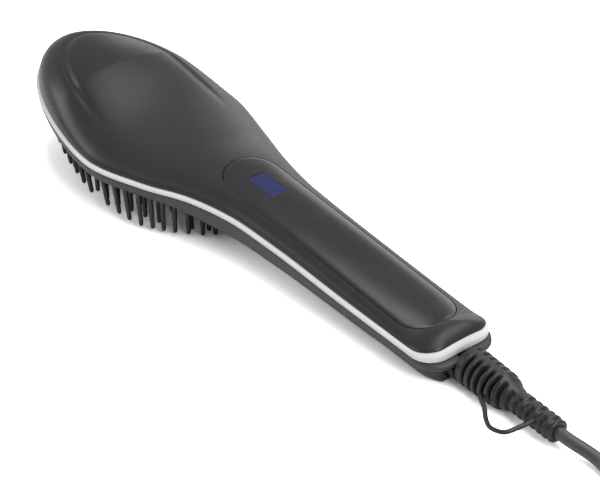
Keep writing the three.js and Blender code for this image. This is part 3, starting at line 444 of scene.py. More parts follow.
# %% Upper shell
BAND_BEVEL = 1.2
SEAM = 0.3
DOME_WALL = 2.0
CREASE_PLACE, CREASE_DEPTH, CREASE_WIDTH = 0.68, 0.9, 0.045
CREST_X = [-127.5, -97.5, -75, -45, -15, 10, 35, 70, 117.5]
CREST_Z = [18.8, 18.8, 16.7, 11.6, 8.1, 6.9, 6.3, 5.7, 4.5]
SQUARE_X = [-127.5, -75, -45, -15, 20, 100, 119]
SQUARE = [2.2, 2.05, 1.85, 1.95, 1.95, 1.9, 1.5]
PANEL = (-1.0, 117.9, 11.6)
GAP = 0.12
WINDOW = (12.0, 27.0, 3.7)


def band_top(x, y=0.0):
    """Height of the band, which is taller across the tail and arches up there."""
    return 1.75 + smooth((x - 115.5) / 10) * (0.9 + 1.5 * np.cos(np.clip(y / 18, -1, 1) * math.pi / 2))


def crest(x):
    return through(np.clip(x, *SPINE), CREST_X, CREST_Z)


def dome_power(x):
    """Squareness of the section: 2 is an ellipse."""
    return through(x, SQUARE_X, SQUARE)


def dome(x, share, y, depth=0.0):
    """Height of the upper shell at a share of the way out from its crest line."""
    power = dome_power(x)
    crease = CREASE_DEPTH * np.exp(-(((share - CREASE_PLACE) / CREASE_WIDTH) ** 2))
    crease = crease * (1 - smooth((x - (TIP + 52 + 0.35 * y)) / 34)) * (depth == 0)
    rise = (crest(x) - depth) * np.clip(1 - share**power, 0, 1) ** (1 / power)
    return bow(x) + band_top(x, y) + SEAM + rise - crease


def dome_at(x, y):
    """Height of the upper shell over a place on the neck or grip."""
    return dome(x, np.minimum(np.abs(y) / (half_width(x) - BAND_BEVEL), 1), y)


def dome_shares(steps, x):
    """Shares that follow the dome's curve evenly, down to its steep rim."""
    return [np.sin(a) ** (2 / dome_power(x)) for a in np.linspace(0, math.pi / 2, steps)]


def dome_inside(x, share, y):
    return dome(x, share, y, DOME_WALL)


outer = [ring(BODY, BAND_BEVEL, s, dome) for s in dome_shares(60, BODY[:, 0])]
inner = [ring(BODY, BAND_BEVEL + DOME_WALL, s, dome_inside) for s in dome_shares(16, BODY[:, 0])[::-1]]
whole_shell = skin("upper_shell", outer + inner)
panel_hole = prism(stadium(PANEL[0] - GAP, PANEL[1] + GAP, PANEL[2] + GAP), -5, 40)
piece("upper_shell", carved(whole_shell, [panel_hole], 30), "housing", "shell", "top_shell")

# %% [markdown]
# ## Control panel and display
# The panel is a separate moulding let into the grip, a shade glossier than the shell, with a thin
# shadow gap round it. Its own edge is rounded over, because a sharp edge there would chip and
# catch the light unevenly. The display is a dark blue window set flush in it.


# %% Control panel and display
ROLLED_EDGE = [(1.0, 0.0), (0.6, 0.08), (0.29, 0.29), (0.08, 0.6), (0.0, 1.0)]


def laid_on_dome(name, outline, spine, depth, roll=0.3, below=0.0):
    """A plate cut to an outline, that follows the dome and has its upper edge rolled over."""
    outline = np.asarray(outline, float)
    middle = np.c_[np.clip(outline[:, 0], *spine), np.zeros(len(outline))]
    reach = np.linalg.norm(outline - middle, axis=1)[:, None]
    steps = [(i / 12 * (1 - roll / reach), 0) for i in range(12)]
    steps += [(1 - back_off * roll / reach, drop * roll) for back_off, drop in ROLLED_EDGE]
    steps += [(share, depth) for share in (1.0, 0.5, 0.0)]
    rings = []
    for share, drop in steps:
        xy = middle + (outline - middle) * share
        rings.append(np.c_[xy, dome_at(xy[:, 0], xy[:, 1]) - drop - below])
    return skin(name, rings, sharp=50)


def rounded_box(x0, x1, half, radius, steps=8):
    turn = np.linspace(0, math.pi / 2, steps)
    corners = [(x1 - radius, half - radius), (x0 + radius, half - radius)]
    corners += [(x0 + radius, radius - half), (x1 - radius, radius - half)]
    arcs = []
    for quarter, (x, y) in enumerate(corners):
        a = turn + quarter * math.pi / 2
        arcs.append(np.c_[x + radius * np.cos(a), y + radius * np.sin(a)])
    return np.vstack(arcs)


PANEL_DEPTH, GLASS_DEPTH, GLASS_SUNK, GLASS_GAP = 1.3, 1.2, 0.06, 0.06
panel_outline = stadium(PANEL[0] + GAP, PANEL[1] - GAP, PANEL[2] - GAP)
panel_spine = (PANEL[0] + PANEL[2], PANEL[1] - PANEL[2])
panel_blank = laid_on_dome("control_panel", panel_outline, panel_spine, PANEL_DEPTH)
window_hole = prism(rounded_box(*WINDOW, 0.6), -5, 40)
piece("panel_cover", carved(panel_blank, [window_hole], 30), "housing", "panel", "control_panel")
glass_outline = rounded_box(WINDOW[0] + GLASS_GAP, WINDOW[1] - GLASS_GAP, WINDOW[2] - GLASS_GAP, 0.55, 10)
glass_spine = (WINDOW[0] + WINDOW[2], WINDOW[1] - WINDOW[2])
glass = laid_on_dome("display_glass", glass_outline, glass_spine, GLASS_DEPTH, 0.2, GLASS_SUNK)
piece("display_glass", glass, "housing", "window", "display_window")

# %% [markdown]
# ## Trim band
# A ring of silver-painted plastic between the shells. It is bevelled so that it leans back to the
# dome and catches the light from above, and it grows a little taller across the tail.

# %% Trim band
BAND_SECTION = [(0.16, 0.0), (0.04, 0.06), (0.0, 0.2), (0.02, 0.45), (0.12, 0.62), (0.55, 0.78)]
BAND_SECTION += [(0.98, 0.93), (1.16, 0.99), (1.4, 1.0), (3.6, 1.0), (3.6, 0.0)]


def band_height(x, y, rise):
    """The upper bevel follows the band's top, and what lies below it stays level."""
    return bow(x) + rise * (band_top(x, y) if rise > 0.3 else 1.6)


band_rings = [
    ring(BODY, inset, 1.0, lambda x, s, y, r=rise: band_height(x, y, r)) for inset, rise in BAND_SECTION
]
piece("silver_band", skin("silver_band", band_rings, wrap=True, sharp=50), "housing", "band", "trim_band")

# %% [markdown]
# ## Lower shell
# Thin under the head, where only a rim shows, and deep under the grip, where it fills the hand.
# At the tail its upper edge runs out into a lip, and the end wall is scooped out so that the boot
# can swing. The opening under the head takes the brushing face.

# %% Lower shell
BELLY = 9.4


def shell_depth(x):
    belly = 5.2 * smooth((x + 14) / 58)
    waist = -2.8 * smooth((x - 88.5) / 15)
    tail = 3.3 * smooth((x - 103.5) / 18.5)
    return 4.2 + belly + waist + tail


def bow_below(x, share):
    """The shell's upper edge follows the bow; its underside is straight along the grip."""
    return bow(x) * (1 - share * smooth((x + 34) / 44))


def shell_ring(inset, share, lift=0.0, lip=0.0, extra=0.0, draw=1.0):
    """A ring of the lower shell, at a share of its depth; lip is how far it stands out at the tail."""
    x = BODY[:, 0]
    across = extra + inset * (shell_depth(x) / BELLY) ** 1.8
    at_tail = extra + min(inset, 1.2) - lip
    along = np.where(x > CAP, at_tail, across)

    def height(x, s, y):
        return -SEAM - (shell_depth(x) - lift) * share + bow_below(x, share)

    return ring(BODY, across, draw, height, along=along)


WALL = 1.7
SIDE = [(0.7, 0.0, 0.5), (0.45, 0.02, 2.0), (0.4, 0.06, 2.75), (0.4, 0.12, 3.0), (0.45, 0.19, 2.95)]
SIDE += [(0.6, 0.245, 2.6), (0.75, 0.275, 1.6), (0.85, 0.3, 0.4), (0.95, 0.33, 0.0), (1.25, 0.4, 0)]
SIDE += [(1.7, 0.5, 0), (2.3, 0.62, 0), (3.0, 0.74, 0), (3.9, 0.85, 0), (4.9, 0.93, 0), (5.9, 0.98, 0)]
SIDE += [(7.0, 1.0, 0)]
outside = [shell_ring(7.0, 1.0, draw=d) for d in (0.0, 0.3, 0.6, 0.85)]
outside += [shell_ring(i, s, lip=out) for i, s, out in SIDE[::-1]]
inside = [shell_ring(i, s, WALL, extra=WALL) for i, s in ((0.6, 0.0), (1.5, 0.44), (4.0, 1.0))]
inside += [shell_ring(4.0, 1.0, WALL, extra=WALL, draw=d) for d in (0.6, 0.0)]
lower_blank = skin("lower_shell", outside + inside)

FACE_END, FACE_ROUND = TIP + 135, 26


def face_outline(inset, steps=90):
    """Outline of the brushing face, moved in by inset, with a round rear end."""
    start, end = TIP + inset, FACE_END - inset
    x = start + (end - start) * (1 - np.cos(np.linspace(0, math.pi, steps))) / 2
    t = np.clip((x - (end - FACE_ROUND)) / FACE_ROUND, 0, 1)
    close = (1 - t**2.2) ** (1 / 2.2)
    stretched = HEAD_X + (x - HEAD_X) * HEAD_LENGTH / (HEAD_LENGTH - inset)
    at_head = half_width(stretched) * (HEAD_HALF - inset) / HEAD_HALF
    width = np.where(x < HEAD_X, at_head, half_width(x) - inset) * close
    width[[0, -1]] = 0
    return closed(np.c_[x, width])


def face_ring(inset, share, z):
    """A ring of the brushing face, which follows the parting line's bow."""
    spine = (TIP + inset + 24, FACE_END - inset - 14)
    return ring(face_outline(inset), 0.0, share, lambda x, s, y: z + bow(x), spine)


BOOT_TILT = (math.radians(-2.5), math.radians(-3.4))
SWIVEL = np.array([117.5, 0, -3.4])


def on_swivel(points):
    """Points along the boot's own axis, in mm, as points of the brush's frame."""
    p = np.asarray(points, float)
    rise, yaw = BOOT_TILT
    x = p[..., 0] * math.cos(yaw) - p[..., 1] * math.sin(yaw)
    y = p[..., 0] * math.sin(yaw) + p[..., 1] * math.cos(yaw)
    z = p[..., 2]
    ahead = x * math.cos(rise) + z * math.sin(rise)
    up = z * math.cos(rise) - x * math.sin(rise)
    return np.stack([ahead, y, up], -1) + SWIVEL


def on_boot(points):
    """Points along the boot's own axis, in mm, as points of the row frame, in metres."""
    return world(on_swivel(points))


def rod(radius, x0, x1, steps=64, low=False):
    """A round cutter along the boot's axis; low keeps what lies under the tail's lip."""
    turn = np.linspace(0, 2 * math.pi, steps, endpoint=False)
    y, z = radius * np.cos(turn), radius * np.sin(turn)
    if low:
        z = np.minimum(z, 0.1)
    rings = [np.c_[np.full(steps, x), y * k, z * k] for x, k in ((x0, 0), (x0, 1), (x1, 1), (x1, 0))]
    return skin("rod", rings, placed=on_boot)


KEY_PLACES = {"power": 50, "plus": 62, "minus": 74}
SCREW_PLACES = [(14, -9.8, -6.6), (14, 9.8, -6.6), (95.5, -9.2, -5.4), (95.5, 9.2, -5.4)]
face_cuts = ((0, -30), (1, -30), (1, -0.9), (0, -0.9))
face_hole = skin("face_hole", [face_ring(3.6, s, z) for s, z in face_cuts])
key_holes = [prism(disc(x, 0, 4.55), -30, -6) for x in KEY_PLACES.values()]
screw_holes = [prism(disc(x, y, 2.7, 32), -30, top) for x, y, top in SCREW_PLACES]
boot_scoop = [rod(7.9, 4.2, 30, low=True), rod(3.5, -6, 12)]
lower_shell = carved(lower_blank, [face_hole, *key_holes, *screw_holes, *boot_scoop], 35)
piece("lower_shell", lower_shell, "housing", "under_shell", "bottom_shell")

# %% [markdown]
# ## Collar in the tail
# A half ring of dark rubber fills the scoop below the lip, so that no dirt gets to the swivel
# behind it. It stays with the housing, and a small gap lets the boot turn in front of it.

# %% Boot collar
COLLAR_SECTION = [(5.0, 3.9), (13.2, 3.9), (13.2, 6.7), (13.0, 7.05), (5.0, 7.05)]


def closed_strip(rings):
    """The rings with their middles before the first and after the last, to close both ends."""
    first, last = (np.broadcast_to(r.mean(0), r.shape) for r in (rings[0], rings[-1]))
    return [first, *rings, last]


collar_rings = [
    np.array([[x, r * math.cos(a), r * math.sin(a)] for x, r in COLLAR_SECTION])
    for a in np.linspace(math.pi, 2 * math.pi, 41)
]
collar = skin("boot_collar", closed_strip(collar_rings), placed=on_boot)
piece("boot_collar", collar, "housing", "boot_rubber")

# %% [markdown]
# ## Brushing face
# The guard bristles round the edge are plain moulded plastic and stand a little longer than the
# heated pins inside, so that the scalp never touches what is hot. All of them are one repeated
# strand, so a Geometry Nodes tree draws it once and places it on a cloud of root points; each
# point carries the run from its root to its tip.


# %% Bristle tree
def bristle_tree(name):
    """A tree that stands one tapered strand with a round end on every point."""
    tree = bpy.data.node_groups.new(name, "GeometryNodeTree")
    face = tree.interface
    face.new_socket("Roots", in_out="INPUT", socket_type="NodeSocketGeometry")
    for title in ("Root radius", "Tip radius", "Strand length", "Wander"):
        face.new_socket(title, in_out="INPUT", socket_type="NodeSocketFloat")
    for title in ("Rings", "Sides", "Seed"):
        face.new_socket(title, in_out="INPUT", socket_type="NodeSocketInt")
    face.new_socket("Finish", in_out="INPUT", socket_type="NodeSocketMaterial")
    face.new_socket("Bristles", in_out="OUTPUT", socket_type="NodeSocketGeometry")
    add, link = tree.nodes.new, tree.links.new
    given = add("NodeGroupInput").outputs
    result = add("NodeGroupOutput").inputs

    def calc(operation, a, b=None):
        node = add("ShaderNodeMath")
        node.operation = operation
        for socket, value in zip(node.inputs, (a, b)):
            if value is None:
                continue
            if isinstance(value, (int, float)):
                socket.default_value = value
            else:
                link(value, socket)
        return node.outputs[0]

    line = add("GeometryNodeCurvePrimitiveLine")
    line.inputs["End"].default_value = (0, 0, -0.01)
    points = add("GeometryNodeResampleCurve")
    link(line.outputs[0], points.inputs["Curve"])
    link(given["Rings"], points.inputs["Count"])
    from_tip = calc("SUBTRACT", 1.0, add("GeometryNodeSplineParameter").outputs["Factor"])
    crowded = calc("MULTIPLY", from_tip, from_tip)
    above_tip = calc("MULTIPLY", crowded, given["Strand length"])
    height = add("ShaderNodeCombineXYZ")
    link(calc("SUBTRACT", above_tip, given["Strand length"]), height.inputs["Z"])
    moved = add("GeometryNodeSetPosition")
    link(points.outputs[0], moved.inputs["Geometry"])
    link(height.outputs[0], moved.inputs["Position"])
    growth = calc("SUBTRACT", given["Root radius"], given["Tip radius"])
    taper = calc("ADD", given["Tip radius"], calc("MULTIPLY", growth, from_tip))
    walked = calc("MULTIPLY", from_tip, given["Strand length"])
    rounding = calc("SUBTRACT", 1.0, calc("MINIMUM", calc("DIVIDE", walked, given["Tip radius"]), 1.0))
    width = calc("MULTIPLY", taper, calc("SQRT", calc("SUBTRACT", 1.0, calc("MULTIPLY", rounding, rounding))))
    round_section = add("GeometryNodeCurvePrimitiveCircle")
    link(given["Sides"], round_section.inputs["Resolution"])
    round_section.inputs["Radius"].default_value = 1.0
    strand = add("GeometryNodeCurveToMesh")
    link(moved.outputs[0], strand.inputs["Curve"])
    link(width, strand.inputs["Scale"])
    link(round_section.outputs[0], strand.inputs["Profile Curve"])
    strand.inputs["Fill Caps"].default_value = True
    closed_tip = add("GeometryNodeMergeByDistance")
    link(strand.outputs[0], closed_tip.inputs["Geometry"])
    closed_tip.inputs["Distance"].default_value = 0.00001
    run = add("GeometryNodeInputNamedAttribute")
    run.data_type = "FLOAT_VECTOR"
    run.inputs["Name"].default_value = "run"
    drift = add("FunctionNodeRandomValue")
    drift.data_type = "FLOAT_VECTOR"
    spread = add("ShaderNodeCombineXYZ")
    counter = add("ShaderNodeCombineXYZ")
    for axis in "XY":
        link(given["Wander"], spread.inputs[axis])
        link(calc("MULTIPLY", given["Wander"], -1.0), counter.inputs[axis])
    link(counter.outputs[0], drift.inputs["Min"])
    link(spread.outputs[0], drift.inputs["Max"])
    link(given["Seed"], drift.inputs["Seed"])
    leaning = add("ShaderNodeVectorMath")
    leaning.operation = "ADD"
    link(run.outputs["Attribute"], leaning.inputs[0])
    link(drift.outputs["Value"], leaning.inputs[1])
    upward = add("ShaderNodeVectorMath")
    upward.operation = "SCALE"
    upward.inputs["Scale"].default_value = -1.0
    link(leaning.outputs[0], upward.inputs[0])
    aim = add("FunctionNodeAlignRotationToVector")
    aim.axis = "Z"
    link(upward.outputs[0], aim.inputs["Vector"])
    span = add("ShaderNodeVectorMath")
    span.operation = "LENGTH"
    link(run.outputs["Attribute"], span.inputs[0])
    stretch = add("ShaderNodeCombineXYZ")
    stretch.inputs["X"].default_value = stretch.inputs["Y"].default_value = 1.0
    link(calc("DIVIDE", span.outputs["Value"], given["Strand length"]), stretch.inputs["Z"])
    stand = add("GeometryNodeInstanceOnPoints")
    link(given["Roots"], stand.inputs["Points"])
    link(closed_tip.outputs[0], stand.inputs["Instance"])
    link(aim.outputs[0], stand.inputs["Rotation"])
    link(stretch.outputs[0], stand.inputs["Scale"])
    real = add("GeometryNodeRealizeInstances")
    link(stand.outputs[0], real.inputs["Geometry"])
    coated = add("GeometryNodeSetMaterial")
    link(real.outputs[0], coated.inputs["Geometry"])
    link(given["Finish"], coated.inputs["Material"])
    link(coated.outputs[0], result["Bristles"])
    return tree


BRISTLES = bristle_tree("moulded_bristles")


def bristles(name, roots, tips, root_radius, tip_radius, slot, seed):
    """The mesh of strands from roots to tips, points of the brush's frame."""
    cloud = bpy.data.meshes.new(name)
    start, end = world(roots), world(tips)
    cloud.from_pydata(start.tolist(), [], [])
    runs = cloud.attributes.new("run", "FLOAT_VECTOR", "POINT")
    runs.data.foreach_set("vector", (end - start).astype(np.float32).ravel())
    holder = in_scene(name, cloud)
    modifier = holder.modifiers.new("bristles", "NODES")
    modifier.node_group = BRISTLES
    sizes = {"Root radius": root_radius / 1000, "Tip radius": tip_radius / 1000}
    sizes |= {"Strand length": 0.0165, "Wander": 0.0001, "Rings": 9, "Sides": 10}
    sizes |= {"Seed": seed, "Finish": FINISHES[slot]}
    for socket in BRISTLES.interface.items_tree:
        if socket.name in sizes:
            modifier[socket.identifier] = sizes[socket.name]
    made = bpy.data.meshes.new_from_object(holder.evaluated_get(bpy.context.evaluated_depsgraph_get()))
    bpy.data.objects.remove(holder)
    clean(made, 50)
    print(name, "of", len(roots), "strands:", len(made.polygons), "faces")
    return made


# %% [markdown]
# ## Guard bristles in their frame
# The outer tips' places along the near side were read from the picture, and the far side mirrors
# them; one place in the row is empty there, and stays so. They lean in towards the tips at the
# head. Behind them a second, slightly shorter row stands on the same frame, as what shows between
# the outer bristles suggests.

# %% Guard bristles and bristle frame
TIP_DROP, ROOT_LEVEL, LEAN = 19.8, -3.4, 2.2
INNER_INSET, INNER_PITCH, INNER_SHORT = 7.9, 6.9, 0.5
GUARD_TIPS = [(-118.6, -4.2), (-114.6, -11.2), (-105.6, -17.2), (-96.3, -21.3), (-87.9, -24.2)]
GUARD_TIPS += [(-79.8, -26.4), (-72.0, -28.2), (-64.2, -29.9), (-56.6, -31.2), (-44.6, -31.1)]
GUARD_TIPS += [(-37.2, -30.7), (-30.8, -30.2), (-24.6, -28.8), (-20.4, -26.4), (-16.4, -23.8)]
GUARD_TIPS += [(-12.6, -21.0), (-8.8, -17.4), (-4.8, -13.6), (-1.8, -9.6), (-0.2, -5.2), (0.4, -0.6)]
near_tips = np.array(GUARD_TIPS)
outer_xy = np.vstack([near_tips, (near_tips * [1, -1])[:-1]])
away = outer_xy - np.c_[np.clip(outer_xy[:, 0], -90, -30), np.zeros(len(outer_xy))]
away /= np.linalg.norm(away, axis=1)[:, None]
root_xy = outer_xy + away * LEAN * (1 - smooth((outer_xy[:, 0] + 50) / 46))[:, None]
inner_line = face_outline(INNER_INSET)[:, :2]
walked = np.r_[0, np.cumsum(np.linalg.norm(np.diff(inner_line, axis=0), axis=1))]
stops = np.arange(3.6, walked[-1], INNER_PITCH)
inner_xy = np.stack([np.interp(stops, walked, inner_line[:, i]) for i in (0, 1)], -1)


def at_height(xy, z):
    return np.c_[xy, np.broadcast_to(z, len(xy))]


guard_roots = np.vstack([at_height(xy, ROOT_LEVEL + bow(xy[:, 0])) for xy in (root_xy, inner_xy)])
guard_tips = np.vstack([at_height(outer_xy, -TIP_DROP), at_height(inner_xy, INNER_SHORT - TIP_DROP)])
FRAME_SECTION = [(3.9, -4.15), (3.9, -1.1), (9.1, -1.1), (9.1, -3.9), (8.7, -4.2), (4.2, -4.3)]
frame_ring = skin("bristle_ring", [face_ring(i, 1.0, z) for i, z in FRAME_SECTION], wrap=True, sharp=45)
guards = bristles("guard_bristles", guard_roots, guard_tips, 1.12, 0.92, "bristle", 3)
piece("guard_bristles", joined("guard_bristles", [frame_ring, guards]), "housing", "bristle", "bristle_frame")

# %% [markdown]
# ## Heated plate
# A coated aluminium plate with rows of thicker pins. The pins carry heat between the strands of
# hair; their ends are capped a millimetre short of the guard bristles.

# %% Heated plate and its pins
PIN_PITCH, ROW_PITCH, PIN_SHORT = 8.0, 7.2, 0.8
pin_places = []
for row in range(-4, 5):
    y = row * ROW_PITCH
    for x in np.arange(TIP + 15.4 + (abs(row) % 2) * PIN_PITCH / 2, FACE_END - 13.4, PIN_PITCH):
        if half_width(x) - 11.4 >= abs(y) and FACE_END - x >= 13 + abs(y) * 0.9:
            pin_places.append((x, y))
pin_xy = np.array(pin_places)
pin_roots = at_height(pin_xy, bow(pin_xy[:, 0]) - 3.2)
pin_tips = at_height(pin_xy, PIN_SHORT - TIP_DROP)
PLATE_SECTION = [(9.4, 0, -3.4), (9.4, 0.5, -3.4), (9.7, 1, -3.4)]
PLATE_SECTION += [(9.4, 1, -3.1), (9.4, 1, 0.6), (9.4, 0, 0.6)]
plate = skin("plate", [face_ring(*step) for step in PLATE_SECTION], sharp=45)
pins = bristles("heated_pins", pin_roots, pin_tips, 1.45, 1.15, "plate", 5)
piece("heated_plate", joined("heated_plate", [plate, pins]), "housing", "plate", "heat_plate")

# %% [markdown]
# ## Buttons
# Three round keys on the underside, where the index finger rests. Each is a separate turned cap
# with a rolled edge and a raised sign, and each slides in by itself.


# %% Buttons
def lathe(name, profile, place, placed=world, steps=48):
    """A turned mesh from a profile of (radius, height); place moves its points to where it stands."""
    turn = np.linspace(0, 2 * math.pi, steps, endpoint=False)
    rings = [np.c_[r * np.cos(turn), r * np.sin(turn), np.full(steps, h)] for r, h in profile]
    return skin(name, [place(r) for r in rings], placed=placed)


def bar(x, y, z0, z1, half_long, half_wide, along_x=True):
    """A raised stroke of a key's sign."""
    hx, hy = (half_long, half_wide) if along_x else (half_wide, half_long)
    return prism([(x - hx, y - hy), (x + hx, y - hy), (x + hx, y + hy), (x - hx, y + hy)], z0, z1)


CAP_FACE = -SEAM - BELLY - 0.7
CAP_PROFILE = [(0, 0.12), (2.6, 0.1), (3.5, 0.02), (3.9, 0.08), (4.13, 0.3), (4.2, 0.6)]
CAP_PROFILE += [(4.2, 2.75), (5.4, 2.75), (5.4, 3.65), (0, 3.65)]
SIGN = (CAP_FACE - 0.05, CAP_FACE + 0.4)


def power_sign(x):
    """The usual sign for on and off: an open ring with a stroke in its gap."""
    turn = np.linspace(math.radians(-140), math.radians(140), 25)
    ring_outside, ring_inside = (np.c_[x + r * np.cos(turn), r * np.sin(turn)] for r in (1.6, 1.15))
    strip = [
        np.array([[*o, SIGN[0]], [*i, SIGN[0]], [*i, SIGN[1]], [*o, SIGN[1]]])
        for o, i in zip(ring_outside, ring_inside)
    ]
    return [bar(x - 0.9, 0, *SIGN, 0.9, 0.25), skin("power_sign", closed_strip(strip))]


def minus_sign(x):
    return [bar(x, 0, *SIGN, 1.5, 0.28)]


def plus_sign(x):
    return [*minus_sign(x), bar(x, 0, *SIGN, 1.5, 0.28, along_x=False)]


for body, sign in (("power", power_sign), ("plus", plus_sign), ("minus", minus_sign)):
    x, node = KEY_PLACES[body], body + "_button"
    cap = lathe(node, CAP_PROFILE, lambda p: p + [x, 0, CAP_FACE])
    piece(body + "_key", joined(node, [cap, *sign(x)]), body, "button", node)

# %% [markdown]
# ## Strain relief boot
# Soft rubber moulded over the cord. Slots cut from both sides leave a spine above and below, so
# the sleeve bends evenly from side to side; the near and far slots are staggered. The slim end has
# three round grooves with slots between them. The boot's radius is one function of the place along
# the axis and the angle round it, so that the slots get the soft, slightly bulging edges of a
# rubber moulding.

# %% Strain relief boot
BOOT_START, BOOT_END = 13.7, 58.0
MOUTH_RADIUS, MOUTH_SWELL, NECK_RADIUS = 5.9, 1.2, 4.3
SLOT_FLOOR, SLOT_HALF, SPINE_HALF = 4.3, 0.78, 1.1
GROOVE_DEPTH, GROOVE_HALF, END_ROLL = 1.0, 0.85, 0.9
NEAR_SLOTS = [18.2, 21.5, 24.8, 28.0, 31.1, 34.4, 37.8, 41.4, 47.3, 53.2]
FAR_SLOTS = [16.4, 19.6, 22.8, 25.9, 29.1, 32.4, 35.8, 39.3, 47.3, 53.2]
GROOVES = [44.3, 50.3, 56.2]


def boot_radius(x, angle):
    """Radius of the boot; the angle is 0 at the far side and a quarter turn on top."""
    rounding = np.sqrt(np.clip(1 - (1 - np.clip((x - BOOT_START) / 1.6, 0, 1)) ** 2, 0, 1))
    sleeve = MOUTH_RADIUS + MOUTH_SWELL * rounding - 0.4 * np.clip((x - 18.3) / 12.4, 0, 1)
    shoulder = smooth((x - 31.0) / 8.0)
    base = sleeve * (1 - shoulder) + NECK_RADIUS * shoulder
    side = np.abs(np.cos(angle))
    open_side = smooth((side * base - SPINE_HALF) / SPINE_HALF)
    cut = np.zeros_like(base)
    for slots, mine in ((NEAR_SLOTS, np.cos(angle) < 0), (FAR_SLOTS, np.cos(angle) >= 0)):
        for place in slots:
            cut = np.maximum(cut, mine * np.exp(-(((x - place) / SLOT_HALF) ** 6)))
    base = base - np.clip(base - SLOT_FLOOR + 1.1 * smooth((x - 30) / 8), 0, 4) * cut * open_side
    for place in GROOVES:
        base = base - GROOVE_DEPTH * np.exp(-(((x - place) / GROOVE_HALF) ** 4))
    return base - END_ROLL * np.clip((x - (BOOT_END - 1.0)) / 1.0, 0, 1) ** 2


steps = 96
angle = np.linspace(0, 2 * math.pi, steps, endpoint=False)


def boot_ring(x, radius):
    return np.c_[np.full(steps, x), radius * np.cos(angle), radius * np.sin(angle)]


boot_rings = [boot_ring(BOOT_START, r) for r in (0, 2.4)]
stretches = ((BOOT_START, 14.6, 6), (14.8, 57.0, 190), (57.1, BOOT_END, 6))
for x in np.concatenate([np.linspace(*stretch) for stretch in stretches]):
    boot_rings.append(boot_ring(x, boot_radius(np.full(steps, x), angle)))
boot_rings += [boot_ring(x, r) for x, r in ((BOOT_END, 2.5), (BOOT_END - 2.5, 2.45), (BOOT_END - 2.5, 0))]
boot_mesh = skin("slotted_boot", boot_rings, placed=on_boot, sharp=60)
piece("slotted_boot", boot_mesh, "boot", "boot_rubber", "strain_relief_boot")

# %% [markdown]
# ## Hang loop
# A thin rubber strand that leaves the sleeve, bows out on the near side and runs back into the
# boot's end. It is swept along a smooth curve through points read from the picture.


# %% Hang loop and sweep tool
def spline(points, steps):
    """Evenly spaced points on a centripetal curve through the given ones."""
    p = np.asarray(points, float)
    p = np.vstack([2 * p[0] - p[1], p, 2 * p[-1] - p[-2]])
    made = []
    for a, b, c, d in zip(p, p[1:], p[2:], p[3:]):
        k = np.cumsum([0, *[max(np.linalg.norm(v), 1e-9) ** 0.5 for v in (b - a, c - b, d - c)]])
        t = np.linspace(k[1], k[2], 40)[:, None]
        a1 = ((k[1] - t) * a + (t - k[0]) * b) / (k[1] - k[0])
        a2 = ((k[2] - t) * b + (t - k[1]) * c) / (k[2] - k[1])
        a3 = ((k[3] - t) * c + (t - k[2]) * d) / (k[3] - k[2])
        b1 = ((k[2] - t) * a1 + (t - k[0]) * a2) / (k[2] - k[0])
        b2 = ((k[3] - t) * a2 + (t - k[1]) * a3) / (k[3] - k[1])
        made.append(((k[2] - t) * b1 + (t - k[1]) * b2) / (k[2] - k[1]))
    line = np.vstack([m[:-1] for m in made] + [made[-1][-1:]])
    walked = np.r_[0, np.cumsum(np.linalg.norm(np.diff(line, axis=0), axis=1))]
    wanted = np.linspace(0, walked[-1], steps)
    return np.stack([np.interp(wanted, walked, line[:, i]) for i in range(3)], -1)


ROUND_END = [0.5, 1.0, math.pi / 2]


def sweep(name, line, radius, sides=24, placed=world):
    """A round strand along a line, with round ends."""
    ahead = np.gradient(line, axis=0)
    ahead /= np.linalg.norm(ahead, axis=1)[:, None]
    side = np.cross(ahead[0], [0, 0, 1.0])
    rings = []
    turn = np.linspace(0, 2 * math.pi, sides, endpoint=False)[:, None]
    for i, (point, heading) in enumerate(zip(line, ahead)):
        side = side - heading * (side @ heading)
        side /= np.linalg.norm(side)
        over = np.cross(heading, side)
        circle = side * np.cos(turn) + over * np.sin(turn)
        tilts = [0]
        if i == 0:
            tilts = [-a for a in ROUND_END[::-1]] + tilts
        if i == len(line) - 1:
            tilts += ROUND_END
        rings += [point + radius * (circle * math.cos(a) + heading * math.sin(a)) for a in tilts]
    return skin(name, rings, placed=placed, sharp=60)


LOOP_POINTS = [(25.8, -4.8, -1), (28.2, -7.2, -1.4), (32.7, -9.3, -1.8), (36.5, -11.9, -2.2)]
LOOP_POINTS += [(40.6, -13.8, -2.3), (43.9, -13.6, -2), (46.6, -12.2, -1.5), (48.1, -8.4, -0.6)]
LOOP_POINTS += [(49.4, -3.7, 0.6), (49.7, -2.4, 1)]
loop_line = spline(LOOP_POINTS, 90)
piece("rubber_loop", sweep("rubber_loop", loop_line, 0.8, placed=on_boot), "boot", "boot_rubber", "hang_loop")

# %% [markdown]
# ## Mains cord
# The cord leaves the boot, comes down to the table and runs out of the picture in a gentle
# bend. The rest of it, almost two metres, isn't seen: it lies behind the brush as it is sold,
# wound in a coil of four layers, and ends in a flat two-pin plug.

# %% Cord
CORD_DIAMETER = 4.5
COIL_X, COIL_Y, COIL_RADIUS, COIL_PITCH, COIL_LAYERS = 252, 4, 35.5, 5.5, 4
FULL, CLIMB = 1.95 * 2 * math.pi, math.pi
PERIOD = FULL + CLIMB
COIL_ENTRY = math.radians(-106)
LIE = CORD_DIAMETER / 2 + 0.1


def along_boot(x):
    """A place on the boot's axis, in mm of the row frame."""
    return on_boot([x, 0, 0]) * 1000


